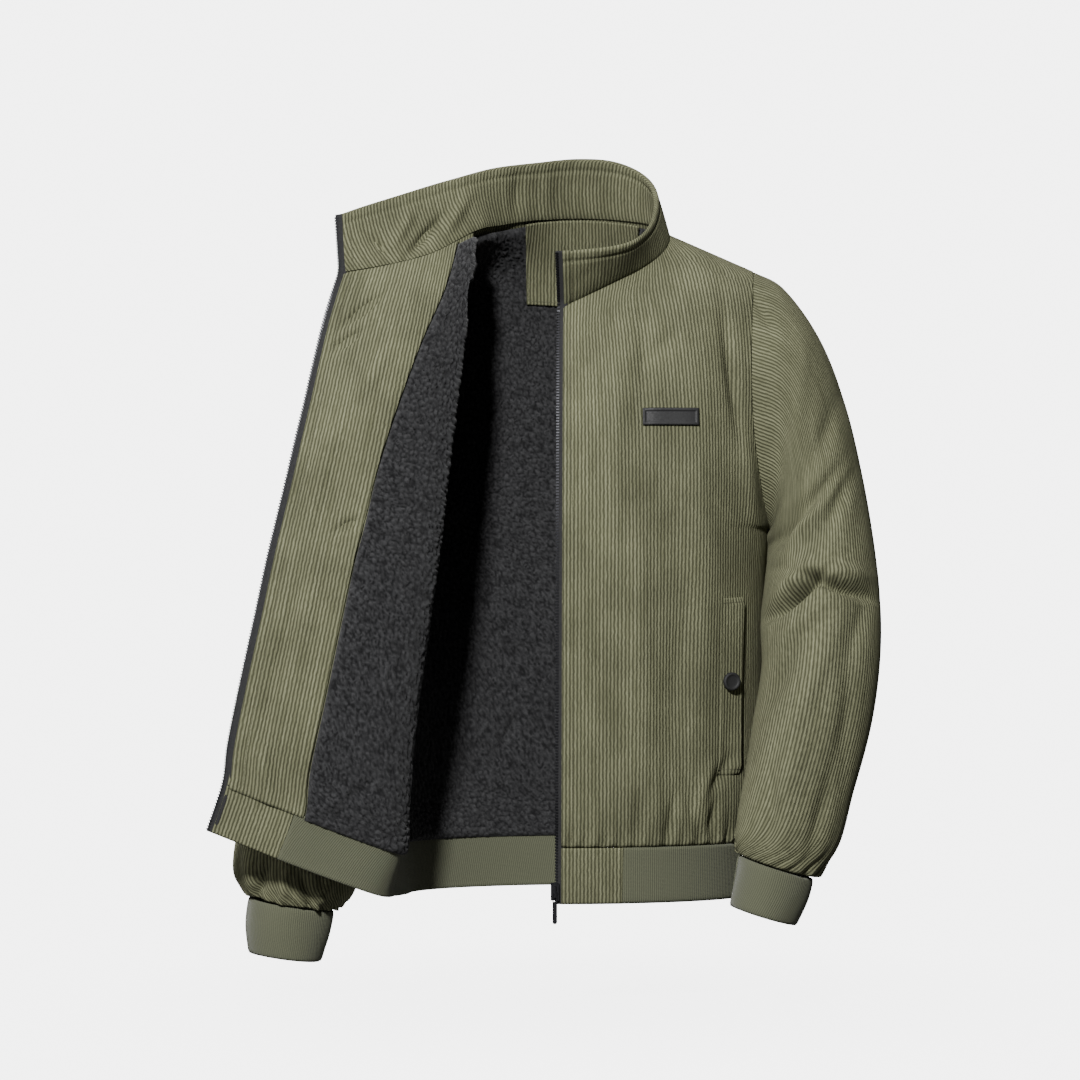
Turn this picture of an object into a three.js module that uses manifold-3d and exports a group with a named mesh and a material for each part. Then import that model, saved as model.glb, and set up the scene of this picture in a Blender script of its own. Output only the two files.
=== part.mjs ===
// A corduroy bomber jacket with a stand collar, held open by an unseen wearer.
// The right front is swung out and shows its facing and pile lining, the left front hangs straight.
// Millimetres, +X towards the wearer's left, +Y towards the back, +Z up, origin at the neck's middle.
import * as THREE from "three";
import Module from "manifold-3d";
import { mergeVertices } from "three/addons/utils/BufferGeometryUtils.js";

// Driving dimensions
const GAP = 0.3; // clearance at every seam
const LINING_GAP = 2.2; // room between shell and lining, which are joined only at their edges
const FACING_GAP = 1.05; // room between shell and facing
const SHELL = 2; // corduroy of fronts, back and sleeves
const PILE = 5; // curly pile lining
const FACING = 2; // corduroy facing inside a front
const COLLAR_CLOTH = 5; // two layers of corduroy with a stiffener
const KNIT = 3; // rib knit of cuffs and hem
const SIDE_Y = 8; // how far back the side seams lie
const HEM_ROW = 1; // row of the body tables on the hem seam
const ARM_ROW = 6; // row of the body tables at the underarm
const LAST_ROW = 12; // row of the body tables at neck and shoulder
const FRONT_EDGE = { bottom: -16.5, top: -14.4 }; // X of the straight front's free edge
const NECK_SHARE = 0.6; // part of a front's top edge that is neckline
const BACK_NECK_SHARE = 0.55; // the same on half of the back
const NORMAL_STEP = 0.002; // step in u and v when a surface's direction is read
const HALVINGS = 40; // steps of a search by halves
const WELD = 1e-4; // mm within which corners are one
const SEAM_V = 0.0006; // seam clearance as a part of a panel's height
const SEAM_U = 0.0014; // seam clearance as a part of a panel's width

const ARMHOLE = { x: 176, top: -31, bottom: -290, y: 4, depth: 66, dip: 5, spread: 18 };

// Body sections from the hem up. Below the arms a section ends at the side seam, at half and seam;
// above them it ends on the armhole. Front and back give depth and height on the middle line.
const BODY = [
  { seam: -655, half: 172, frontY: -105, frontZ: -655, backY: 98, backZ: -653, turn: 90, rise: 0, push: 0 },
  { seam: -600, half: 176, frontY: -107, frontZ: -600, backY: 103, backZ: -598, turn: 90, rise: 0, push: 0 },
  { seam: -560, half: 185, frontY: -114, frontZ: -560, backY: 109, backZ: -556, turn: 90, rise: 0, push: 0 },
  { seam: -480, half: 187, frontY: -117, frontZ: -485, backY: 112, backZ: -480, turn: 90, rise: 0, push: 0 },
  { seam: -400, half: 188, frontY: -119, frontZ: -410, backY: 113, backZ: -404, turn: 90, rise: 0, push: 0 },
  { seam: -335, half: 190, frontY: -120, frontZ: -345, backY: 114, backZ: -336, turn: 90, rise: 0, push: 0 },
  { seam: -290, half: 194, frontY: -119, frontZ: -292, backY: 114, backZ: -284, turn: 88, rise: 4, push: 0 },
  { arm: 150, frontY: -115, frontZ: -250, backY: 115, backZ: -232, turn: 78, rise: 22, push: 0 },
  { arm: 120, frontY: -109, frontZ: -208, backY: 114, backZ: -180, turn: 68, rise: 26, push: 2 },
  { arm: 90, frontY: -101, frontZ: -170, backY: 110, backZ: -128, turn: 62, rise: 27, push: 2 },
  { arm: 60, frontY: -91, frontZ: -136, backY: 102, backZ: -76, turn: 60, rise: 28, push: 0 },
  { arm: 30, frontY: -79, frontZ: -103, backY: 86, backZ: -24, turn: 60, rise: 33, push: -12 },
  { arm: 0, frontY: -65, frontZ: -70, backY: 60, backZ: 29, turn: 60, rise: 0, push: 0 },
];
const BACK_RISE = 0.35; // the back's sections rise less between middle and armhole

// The right front's sections: b between side and fold, a at the fold, c beyond it, e at the free edge.
const OPEN_FRONT = [
  { b: [-183, -44, -652], a: [-200, -92, -646], c: [-268, -108, -620], e: [-356, -118, -584] },
  { b: [-179, -44, -602], a: [-181, -90, -601], c: [-250, -107, -574], e: [-341, -114, -538] },
  { b: [-182, -42, -560], a: [-178, -90, -560], c: [-245, -110, -530], e: [-336, -111, -500] },
  { b: [-179, -40, -484], a: [-171, -88, -485], c: [-234, -111, -460], e: [-324, -106, -440] },
  { b: [-175, -42, -406], a: [-159, -86, -405], c: [-221, -109, -388], e: [-310, -100, -375] },
  { b: [-172, -44, -340], a: [-149, -83, -340], c: [-210, -106, -328], e: [-299, -95, -322] },
  { b: [-172, -50, -292], a: [-142, -79, -290], c: [-202, -103, -283], e: [-290, -91, -283] },
  { b: [-166, -60, -258], a: [-137, -75, -245], c: [-196, -100, -243], e: [-281, -88, -245] },
  { b: [-156, -66, -210], a: [-131, -69, -195], c: [-188, -96, -200], e: [-272, -84, -205] },
  { b: [-148, -66, -152], a: [-125, -61, -145], c: [-180, -90, -155], e: [-263, -78, -166] },
  { b: [-142, -58, -98], a: [-118, -50, -95], c: [-174, -80, -110], e: [-254, -71, -124] },
  { b: [-140, -38, -44], a: [-110, -30, -42], c: [-170, -62, -66], e: [-244, -62, -80] },
];

// The neck seam and the collar's rim, round from the left front over the back to the right front.
const NECK = [
  { seam: [-14, -65, -70], rim: [-16, -95, -19] },
  { seam: [22, -61, -53], rim: [27, -92, -16] },
  { seam: [58, -48, -35], rim: [56, -80, -8] },
  { seam: [84, -26, -15], rim: [75, -46, 14] },
  { seam: [93, 0, 5], rim: [80, -8, 46] },
  { seam: [78, 33, 20], rim: [68, 20, 68] },
  { seam: [42, 54, 27], rim: [38, 30, 82] },
  { seam: [0, 60, 29], rim: [0, 33, 85] },
  { seam: [-42, 54, 27], rim: [-40, 29, 81] },
  { seam: [-80, 30, 19], rim: [-84, 18, 74] },
  { seam: [-104, 2, 10], rim: [-125, 4, 61] },
  { seam: [-146, -24, -14], rim: [-166, -12, 47] },
  { seam: [-192, -40, -27], rim: [-206, -28, 33] },
  { seam: [-231, -50, -34], rim: [-235, -42, 22] },
];
const NECK_LEFT = 4; // station at the left neck point
const NECK_BACK = 7; // station at the middle of the back
const NECK_RIGHT = 10; // station at the right neck point
const NECK_END = 13; // station at the right front's free edge

// Sleeve sections after the armhole: outer and inner point in X and Z, middle and half depth in Y.
const LEFT_SLEEVE = [
  { outX: 207, outZ: -49, inX: 197.5, inZ: -294, y: 2, depth: 68 },
  { outX: 243, outZ: -100, inX: 196, inZ: -300, y: 0, depth: 71 },
  { outX: 268, outZ: -165, inX: 195.5, inZ: -309, y: -3, depth: 73 },
  { outX: 285, outZ: -240, inX: 192, inZ: -322, y: -14, depth: 72 },
  { outX: 296, outZ: -315, inX: 186, inZ: -347, y: -31, depth: 69 },
  { outX: 300, outZ: -375, inX: 181, inZ: -382, y: -47, depth: 67 },
  { outX: 298, outZ: -430, inX: 181, inZ: -427, y: -61, depth: 65 },
  { outX: 291, outZ: -490, inX: 172, inZ: -477, y: -73, depth: 62 },
  { outX: 279, outZ: -545, inX: 163, inZ: -531, y: -84, depth: 58 },
  { outX: 262, outZ: -598, inX: 154, inZ: -582, y: -91, depth: 53 },
  { outX: 232, outZ: -630, inX: 155, inZ: -606, y: -97, depth: 42 },
];
const RIGHT_SLEEVE = [
  { outX: 207, outZ: -49, inX: 198.5, inZ: -294, y: 3, depth: 65 },
  { outX: 240, outZ: -98, inX: 200.5, inZ: -300, y: 4, depth: 66 },
  { outX: 263, outZ: -160, inX: 200.5, inZ: -309, y: 5, depth: 66 },
  { outX: 280, outZ: -235, inX: 199, inZ: -322, y: 5, depth: 66 },
  { outX: 294, outZ: -315, inX: 198, inZ: -350, y: 4, depth: 64 },
  { outX: 305, outZ: -390, inX: 200, inZ: -410, y: 2, depth: 62 },
  { outX: 316, outZ: -460, inX: 204, inZ: -475, y: -2, depth: 60 },
  { outX: 328, outZ: -530, inX: 210, inZ: -540, y: -8, depth: 56 },
  { outX: 341, outZ: -590, inX: 215, inZ: -600, y: -15, depth: 52 },
  { outX: 344, outZ: -630, inX: 221, inZ: -648, y: -18, depth: 48 },
  { outX: 329, outZ: -653.5, inX: 240, inZ: -668.5, y: -20, depth: 41 },
];
const LEFT_CUFF = [
  { outX: 231, outZ: -631, inX: 155.5, inZ: -607, y: -97, depth: 41 },
  { outX: 225, outZ: -652, inX: 152, inZ: -630, y: -98, depth: 40 },
  { outX: 214, outZ: -676, inX: 147, inZ: -656, y: -100, depth: 37 },
];
const RIGHT_CUFF = [
  { outX: 328.5, outZ: -654.5, inX: 240.5, inZ: -669.5, y: -20, depth: 41 },
  { outX: 331, outZ: -682, inX: 246, inZ: -694, y: -21, depth: 40 },
  { outX: 328, outZ: -709, inX: 254, inZ: -719, y: -22, depth: 37 },
];

// Folds pressed into a sleeve: place round and along it, width and length in those units, depth in mm.
const LEFT_FOLDS = [
  { around: 0.22, along: 0.55, slant: 0.10, width: 0.020, length: 0.16, depth: -6 },
  { around: 0.30, along: 0.49, slant: -0.12, width: 0.022, length: 0.14, depth: -5 },
  { around: 0.18, along: 0.45, slant: -0.15, width: 0.025, length: 0.13, depth: -4 },
  { around: 0.25, along: 0.62, slant: 0.08, width: 0.030, length: 0.15, depth: -4 },
  { around: 0.72, along: 0.52, slant: 0.05, width: 0.030, length: 0.20, depth: -4 },
  { around: 0.20, along: 0.82, slant: -0.12, width: 0.028, length: 0.14, depth: -3 },
];
const RIGHT_FOLDS = [
  { around: 0.75, along: 0.52, slant: 0.08, width: 0.028, length: 0.18, depth: -4 },
  { around: 0.30, along: 0.58, slant: -0.08, width: 0.028, length: 0.16, depth: -4 },
  { around: 0.80, along: 0.93, slant: 0.05, width: 0.018, length: 0.22, depth: -4 },
  { around: 0.60, along: 0.86, slant: -0.10, width: 0.025, length: 0.15, depth: -3 },
];
const CUFF_GATHERS = { count: 7, depth: 1.8, reach: 0.07 };
const HEM_GATHERS = { count: 6, depth: 1.6, reach: 0.05 };
const BACK_GATHERS = 1.6; // the back is wider, so it has this many times the ripples of a front
const GATHER_START = 0.02; // gathers grow from the seam over this part of the height

// Where the facing ends and the lining starts on the open front, by row of its table.
const FACING_SEAM = [0.8, 0.8, 0.8, 0.79, 0.785, 0.78, 0.77, 0.76, 0.745, 0.72, 0.68, 0.62, 0.56];
const LEFT_FACING = 0.27;
const HEM_TAB = { left: 0.205, right: 0.825 }; // ends of the corduroy tabs on the hem
const COLLAR_MARGIN = { seam: 0.013, end: 0.0015 }; // clearances as parts of the collar's height and length
const LINING = {
  from: 0.02, clear: 0.006, sideTop: 0.955, top: 0.94, left: 0.9, backEdge: 0.05, backTop: 0.95,
};
const FACING_EDGE = { front: 0.005, top: 0.985, bottom: 0.004, toLining: 0.012 }; // margins in panel units
const PATCH = { half: 0.125, bottom: 0.86, margin: 0.0025, cutDeep: 4 }; // back neck patch, in the back's units

const LABEL = { left: 63, right: 117, bottom: -188, top: -171, thick: 2, height: 0.74 }; // height in panel units
const WELT = { from: 0.585, to: 0.7, bottom: 0.2, top: 0.392, clear: 0.8, thick: 1.8 };
const RIGHT_WELT = { from: 0.3, to: 0.4 };
const SNAP = { radius: 9, height: 3, along: 0.295, lift: 0.75, dish: 0.6, bevel: 1.5 };
const SNAP_SIDES = 24;
const EDGE_STEP = 0.01; // step in from an edge when its direction is read
const ZIP_EDGE = { split: 0.915, frontTop: 0.995, collarFrom: 0.06 }; // a zip half runs from front to collar
const ZIP = { clear: 0.8, tape: 3.2, bead: 4, tapeThick: 1.4, beadThick: 3, inset: 2.2 };
const SLIDER = {
  height: 17, thick: 7, top: -634, cavity: 4.7, slot: 2.9, wall: 1.5,
  fromEdge: 1.2, overTape: 0.6, pastBead: 0.7,
};
const ARCH = { width: 1.8, top: 2, bottom: 14, reach: 3.6, bar: 1.2, root: 0.5 };
const PULL = { axisDrop: 9, standOff: 1.1, width: 4.6, length: 31, thick: 1.2, eye: 0.7, window: 9, slit: 2.6 };

const SLIDER_ROW = 0.25; // height of the slider in rows of the body table
const PULL_STEPS = 8; // straight steps of the tab's round end

const OLIVE = { color: 0x77765c, roughness: 0.95, metalness: 0 };
const KNIT_OLIVE = { color: 0x62634f, roughness: 0.95, metalness: 0 };
const PILE_GREY = { color: 0x2d2d2e, roughness: 1, metalness: 0 };
const BLACK = { color: 0x17171a, roughness: 0.45, metalness: 0 };
const METAL = { color: 0x2a2a2c, roughness: 0.35, metalness: 0.9 };

const mix = THREE.MathUtils.lerp;
const radians = THREE.MathUtils.degToRad;
const smoothstep = THREE.MathUtils.smoothstep;
const point = (x, y, z) => new THREE.Vector3(x, y, z);
const fromArray = (a) => point(a[0], a[1], a[2]);

// A smooth curve through evenly spaced points. rowAt gives a point for any whole index, 0 to last.
function spline(rowAt, last, t, before = null, after = null) {
  const i = Math.min(Math.max(Math.floor(t), 0), last - 1);
  const f = t - i;
  const p1 = rowAt(i);
  const p2 = rowAt(i + 1);
  const p0 = i > 0 ? rowAt(i - 1) : before ?? p1.clone().multiplyScalar(2).sub(p2);
  const p3 = i + 2 <= last ? rowAt(i + 2) : after ?? p2.clone().multiplyScalar(2).sub(p1);
  const weigh = (a, b, c, d) =>
    b + 0.5 * f * (c - a + f * (2 * a - 5 * b + 4 * c - d + f * (3 * (b - c) + d - a)));
  return point(weigh(p0.x, p1.x, p2.x, p3.x), weigh(p0.y, p1.y, p2.y, p3.y), weigh(p0.z, p1.z, p2.z, p3.z));
}

function tableValue(table, t) {
  return spline((i) => point(table[i], 0, 0), table.length - 1, t).x;
}

// The armhole's seam: 0 degrees at the shoulder, 90 at the front, 180 at the underarm.
function armhole(side, degrees) {
  const c = Math.cos(radians(degrees));
  const s = Math.sin(radians(degrees));
  const x = ARMHOLE.x - ARMHOLE.dip * s * s + ARMHOLE.spread * ((1 - c) / 2) ** 4;
  const z = mix(ARMHOLE.bottom, ARMHOLE.top, (1 + c) / 2);
  return point(side * x, ARMHOLE.y - ARMHOLE.depth * s, z);
}

function neckSeam(station) {
  return spline((i) => fromArray(NECK[i].seam), NECK_END, station);
}

function collarRim(station) {
  return spline((i) => fromArray(NECK[i].rim), NECK_END, station);
}

// The end of a body section at the side seam or on the armhole; forward is 1 in front, -1 behind.
function sectionEnd(side, forward, row) {
  if (row <= ARM_ROW) {
    const at = (i) => point(side * BODY[i].half, SIDE_Y, BODY[i].seam);
    const above = armhole(side, 0).setX(side * 200).setY(SIDE_Y).setZ(-250);
    return spline(at, ARM_ROW, row, null, above);
  }
  const degrees = (180 * (LAST_ROW - row)) / (LAST_ROW - ARM_ROW);
  return armhole(side, forward * degrees);
}

// A quarter turn or less from the middle line to the section's end.
function section(middle, end, turn, t) {
  const angle = radians(turn);
  const across = Math.sin(angle * t) / Math.sin(angle);
  const deep = (1 - Math.cos(angle * t)) / (1 - Math.cos(angle));
  return point(mix(middle.x, end.x, across), mix(middle.y, end.y, deep), mix(middle.z, end.z, t));
}

function frontRow(row, u) {
  if (row === LAST_ROW) {
    if (u < NECK_SHARE) return neckSeam((NECK_LEFT * u) / NECK_SHARE);
    const t = (u - NECK_SHARE) / (1 - NECK_SHARE);
    return neckSeam(NECK_LEFT).lerp(armhole(1, 0), t);
  }
  const r = BODY[row];
  const middle = point(mix(FRONT_EDGE.bottom, FRONT_EDGE.top, row / LAST_ROW), r.frontY, r.frontZ);
  const p = section(middle, sectionEnd(1, 1, row), r.turn, u);
  const hump = Math.sin(Math.PI * u) ** 1.3;
  p.z += r.rise * hump;
  p.y -= r.push * hump;
  return p;
}

function backRow(row, u) {
  const half = Math.abs(1 - 2 * u);
  const side = u < 0.5 ? 1 : -1;
  if (row === LAST_ROW) {
    const end = side > 0 ? NECK_LEFT : NECK_RIGHT;
    if (half < BACK_NECK_SHARE) return neckSeam(mix(NECK_BACK, end, half / BACK_NECK_SHARE));
    const t = (half - BACK_NECK_SHARE) / (1 - BACK_NECK_SHARE);
    return neckSeam(end).lerp(armhole(side, 0), t);
  }
  const r = BODY[row];
  const p = section(point(0, r.backY, r.backZ), sectionEnd(side, -1, row), r.turn, half);
  p.z += r.rise * BACK_RISE * Math.sin(Math.PI * half);
  return p;
}

function openRow(row, u) {
  if (row === LAST_ROW) {
    if (u < 0.5) return armhole(-1, 0).lerp(neckSeam(NECK_RIGHT), 2 * u);
    return neckSeam(mix(NECK_RIGHT, NECK_END, 2 * u - 1));
  }
  const r = OPEN_FRONT[row];
  const stops = [sectionEnd(-1, 1, row), fromArray(r.b), fromArray(r.a), fromArray(r.c), fromArray(r.e)];
  return spline((i) => stops[i], 4, 4 * u);
}

// Ripples just above the hem's rib, deepest at the seam and gone a hand's width above.
function gathers(u, v, spec, seamAt, total) {
  const above = v - seamAt;
  if (above < 0) return 0;
  const fade = Math.exp(-above / spec.reach) * Math.min(above / GATHER_START, 1);
  return spec.depth * fade * Math.sin(2 * Math.PI * spec.count * total * u);
}

const HEM_V = HEM_ROW / LAST_ROW;

function leftFront(u, v) {
  const t = v * LAST_ROW;
  const shoulder = (u - NECK_SHARE) / (1 - NECK_SHARE);
  const half = BACK_NECK_SHARE + (1 - BACK_NECK_SHARE) * shoulder;
  const after = u > NECK_SHARE ? backRow(LAST_ROW - 1, (1 - half) / 2) : null;
  const p = spline((i) => frontRow(i, u), LAST_ROW, t, null, after);
  const edge = spline((i) => frontRow(i, 1), LAST_ROW, t, null, backRow(LAST_ROW - 1, 0));
  p.add(sectionEnd(1, 1, t).sub(edge).multiplyScalar(smoothstep(u, 0.5, 1)));
  return p;
}

function back(u, v) {
  const t = v * LAST_ROW;
  const half = Math.abs(1 - 2 * u);
  const side = u < 0.5 ? 1 : -1;
  const shoulder = (half - BACK_NECK_SHARE) / (1 - BACK_NECK_SHARE);
  const frontU = NECK_SHARE + (1 - NECK_SHARE) * shoulder;
  const ahead = side > 0 ? frontRow(LAST_ROW - 1, frontU) : openRow(LAST_ROW - 1, (1 - shoulder) / 2);
  const after = half > BACK_NECK_SHARE ? ahead : null;
  const p = spline((i) => backRow(i, u), LAST_ROW, t, null, after);
  const u1 = side > 0 ? 0 : 1;
  const ahead1 = side > 0 ? frontRow(LAST_ROW - 1, 1) : openRow(LAST_ROW - 1, 0);
  const edge = spline((i) => backRow(i, u1), LAST_ROW, t, null, ahead1);
  p.add(sectionEnd(side, -1, t).sub(edge).multiplyScalar(smoothstep(half, 0.5, 1)));
  return p;
}

function rightFront(u, v) {
  const t = v * LAST_ROW;
  const half = BACK_NECK_SHARE + (1 - BACK_NECK_SHARE) * (1 - 2 * u);
  const after = u < 0.5 ? backRow(LAST_ROW - 1, (1 + half) / 2) : null;
  const p = spline((i) => openRow(i, u), LAST_ROW, t, null, after);
  const edge = spline((i) => openRow(i, 0), LAST_ROW, t, null, backRow(LAST_ROW - 1, 1));
  p.add(sectionEnd(-1, 1, t).sub(edge).multiplyScalar(1 - smoothstep(u, 0, 0.35)));
  return p;
}

function collar(u, v) {
  const seam = neckSeam(u * NECK_END);
  const rim = collarRim(u * NECK_END);
  return seam.lerp(rim, v);
}

function ring(row, side, u) {
  const angle = 2 * Math.PI * u * side;
  const outer = point(side * row.outX, row.y, row.outZ);
  const inner = point(side * row.inX, row.y, row.inZ);
  const p = outer.clone().lerp(inner, (1 - Math.cos(angle)) / 2);
  p.y -= row.depth * Math.sin(angle);
  return p;
}

function sleeveSurface(table, side, folds) {
  return (u, v) => {
    const last = table.length;
    const at = (i) => {
      if (i > 0) return ring(table[i - 1], side, u);
      return armhole(side, 360 * u * side).add(point(side * 0.9, 0, 0));
    };
    const p = spline(at, last, v * last);
    let press = 0;
    for (const f of folds) {
      const du = u - f.around;
      const dv = v - f.along - f.slant * du;
      press += f.depth * Math.exp(-((dv / f.width) ** 2) - (du / f.length) ** 2);
    }
    const below = 1 - v;
    const fade = Math.exp(-below / CUFF_GATHERS.reach) * Math.min(below / GATHER_START, 1);
    press += CUFF_GATHERS.depth * fade * Math.sin(2 * Math.PI * CUFF_GATHERS.count * u);
    const outward = point(Math.cos(2 * Math.PI * u) * side, -Math.sin(2 * Math.PI * u * side), 0);
    return p.addScaledVector(outward, press);
  };
}

function cuffSurface(table, side) {
  return (u, v) => spline((i) => ring(table[i], side, u), table.length - 1, v * (table.length - 1));
}

// The outward direction of a surface at u, v.
function outwardAt(surface, u, v) {
  const u0 = Math.max(u - NORMAL_STEP, 0);
  const u1 = Math.min(u + NORMAL_STEP, 1);
  const v0 = Math.max(v - NORMAL_STEP, 0);
  const v1 = Math.min(v + NORMAL_STEP, 1);
  const along = surface(u1, v).sub(surface(u0, v));
  const up = surface(u, v1).sub(surface(u, v0));
  return along.cross(up).normalize();
}

// A region between two values of u and two of v.
const span = (u0, u1, v0, v1) => ({ u: () => [u0, u1], v: () => [v0, v1] });
const whole = span(0, 1, 0, 1);

function dressMesh(name, geometry, finish) {
  const mesh = new THREE.Mesh(geometry, new THREE.MeshStandardMaterial(finish));
  mesh.name = name;
  return mesh;
}

// A wall between two distances from a surface, positive outward, over a region of its u and v.
function wall(name, surface, region, low, high, cells, finish) {
  const box = new THREE.BoxGeometry(1, 1, 1, cells[0], cells[1], 1);
  box.deleteAttribute("normal");
  box.deleteAttribute("uv");
  const geometry = mergeVertices(box, WELD);
  const at = geometry.attributes.position;
  for (let i = 0; i < at.count; i++) {
    const v = mix(...region.v(at.getX(i) + 0.5), at.getY(i) + 0.5);
    const u = mix(...region.u(v), at.getX(i) + 0.5);
    const share = at.getZ(i) + 0.5;
    const p = surface(u, v).addScaledVector(outwardAt(surface, u, v), mix(low(u, v), high(u, v), share));
    at.setXYZ(i, p.x, p.y, p.z);
  }
  return dressMesh(name, geometry, finish);
}

// A wall all round a tube, from v0 to v1, with its outside on the surface.
function tube(name, surface, v0, v1, thick, cells, finish) {
  const profile = [];
  for (let i = 0; i <= cells[1]; i++) profile.push(new THREE.Vector2(2, i / cells[1]));
  for (let i = cells[1]; i >= 0; i--) profile.push(new THREE.Vector2(1, i / cells[1]));
  profile.push(profile[0].clone());
  const lathe = new THREE.LatheGeometry(profile, cells[0]);
  lathe.deleteAttribute("normal");
  lathe.deleteAttribute("uv");
  const geometry = mergeVertices(lathe, WELD);
  const at = geometry.attributes.position;
  for (let i = 0; i < at.count; i++) {
    const x = at.getX(i);
    const z = at.getZ(i);
    const u = (Math.atan2(x, z) / (2 * Math.PI) + 1) % 1;
    const v = mix(v0, v1, at.getY(i));
    const inside = (2 - Math.hypot(x, z)) * thick;
    const p = surface(u, v).addScaledVector(outwardAt(surface, u, v), -inside);
    at.setXYZ(i, p.x, p.y, p.z);
  }
  faceOutward(geometry);
  return dressMesh(name, geometry, finish);
}

function faceOutward(geometry) {
  const at = geometry.attributes.position;
  const index = geometry.index.array;
  const corner = (i) => point(at.getX(i), at.getY(i), at.getZ(i));
  let volume = 0;
  for (let i = 0; i < index.length; i += 3) {
    volume += corner(index[i]).dot(corner(index[i + 1]).cross(corner(index[i + 2])));
  }
  if (volume > 0) return;
  for (let i = 0; i < index.length; i += 3) [index[i], index[i + 1]] = [index[i + 1], index[i]];
}

const wasm = await Module();
wasm.setup();

function toSolid(geometry) {
  const bare = geometry.clone();
  bare.deleteAttribute("normal");
  bare.deleteAttribute("uv");
  const merged = mergeVertices(bare, WELD);
  const vertProperties = new Float32Array(merged.attributes.position.array);
  const triVerts = new Uint32Array(merged.index.array);
  return new wasm.Manifold(new wasm.Mesh({ numProp: 3, vertProperties, triVerts }));
}

function fromSolid(solid) {
  const mesh = solid.getMesh();
  const geometry = new THREE.BufferGeometry();
  geometry.setAttribute("position", new THREE.BufferAttribute(mesh.vertProperties, 3));
  geometry.setIndex(new THREE.BufferAttribute(mesh.triVerts, 1));
  return geometry;
}

const flat = (value) => () => value;
const part = new THREE.Group();

const SHELL_V0 = HEM_V + SEAM_V;
const TOP_V = 1 - SEAM_V;

function hemmed(surface, scale) {
  return (u, v) => {
    const p = surface(u, v);
    const ripple = gathers(u, v, HEM_GATHERS, HEM_V, scale);
    return ripple === 0 ? p : p.addScaledVector(outwardAt(surface, u, v), ripple);
  };
}

const leftShell = hemmed(leftFront, 1);
const backShell = hemmed(back, BACK_GATHERS);
const rightShell = hemmed(rightFront, 1);

function addShells() {
  const outer = [flat(-SHELL), flat(0)];
  part.add(wall("left_front", leftShell, span(0, 1 - SEAM_U, SHELL_V0, TOP_V), ...outer, [16, 17], OLIVE));
  part.add(wall("back_panel", backShell, span(SEAM_U, 1 - SEAM_U, SHELL_V0, TOP_V), ...outer, [24, 16], OLIVE));
  part.add(wall("right_front", rightShell, span(SEAM_U, 1, SHELL_V0, TOP_V), ...outer, [22, 17], OLIVE));
}

// The hem's rib runs from one corduroy tab round the back to the other.
function hemLine(s, v) {
  if (s < 1) return leftFront(s, v);
  if (s < 2) return back(s - 1, v);
  return rightFront(Math.min(s - 2, 1), v);
}

function addHem() {
  const top = HEM_V - SEAM_V;
  const knit = [flat(-KNIT), flat(0)];
  const whole3 = (s, v) => hemLine(3 * s, v);
  const from = (HEM_TAB.left + SEAM_U) / 3;
  const to = (2 + HEM_TAB.right - SEAM_U) / 3;
  part.add(wall("hem_rib", whole3, span(from, to, 0, top), ...knit, [48, 2], KNIT_OLIVE));
  part.add(wall("hem_tab_left", leftFront, span(0, HEM_TAB.left, 0, top), ...knit, [5, 2], OLIVE));
  part.add(wall("hem_tab_right", rightFront, span(HEM_TAB.right, 1, 0, top), ...knit, [5, 2], OLIVE));
}

function addLinings() {
  const under = -SHELL - LINING_GAP;
  const pile = [flat(under - PILE), flat(under)];
  const near = -SHELL - FACING_GAP;
  const facing = [flat(near - FACING), flat(near)];
  const patch = [flat(under - FACING - GAP), flat(under - GAP)];
  const low = HEM_V + FACING_EDGE.bottom;
  const high = FACING_EDGE.top;
  const seam = (v) => tableValue(FACING_SEAM, v * LAST_ROW);
  const right = { u: (v) => [LINING.from, seam(v) - LINING.clear], v: () => [low, LINING.sideTop] };
  const rightFacing = { u: (v) => [seam(v), 1 - FACING_EDGE.front], v: () => [low, high] };
  const left = span(LEFT_FACING + FACING_EDGE.toLining, LINING.left, low, LINING.top);
  part.add(wall("lining_right_front", rightShell, right, ...pile, [16, 14], PILE_GREY));
  part.add(wall("facing_right", rightShell, rightFacing, ...facing, [6, 16], OLIVE));
  part.add(wall("lining_left_front", leftShell, left, ...pile, [9, 10], PILE_GREY));
  const leftFacing = span(FACING_EDGE.front, LEFT_FACING, low, high);
  part.add(wall("facing_left", leftShell, leftFacing, ...facing, [4, 12], OLIVE));
  const backRegion = span(LINING.backEdge, 1 - LINING.backEdge, low, LINING.backTop);
  const lining = wall("lining_back", backShell, backRegion, ...pile, [20, 12], PILE_GREY);
  const cutReach = [flat(under - PILE - PATCH.cutDeep), flat(under + 1)];
  const cut = wall("cut", backShell, patchRegion(PATCH.margin), ...cutReach, [10, 6], PILE_GREY);
  const cutLining = toSolid(lining.geometry).subtract(toSolid(cut.geometry));
  part.add(dressMesh("lining_back", fromSolid(cutLining), PILE_GREY));
  part.add(wall("neck_patch", backShell, patchRegion(0), ...patch, [10, 6], OLIVE));
}

function patchRegion(margin) {
  const top = margin > 0 ? 1 : FACING_EDGE.top;
  const half = PATCH.half + margin * 0.5;
  return { u: () => [0.5 - half, 0.5 + half], v: () => [PATCH.bottom - margin * 0.3, top] };
}

function addCollar() {
  const region = span(COLLAR_MARGIN.end, 1 - COLLAR_MARGIN.end, COLLAR_MARGIN.seam, 1);
  part.add(wall("collar", collar, region, flat(-COLLAR_CLOTH), flat(0), [40, 3], OLIVE));
}

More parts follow.
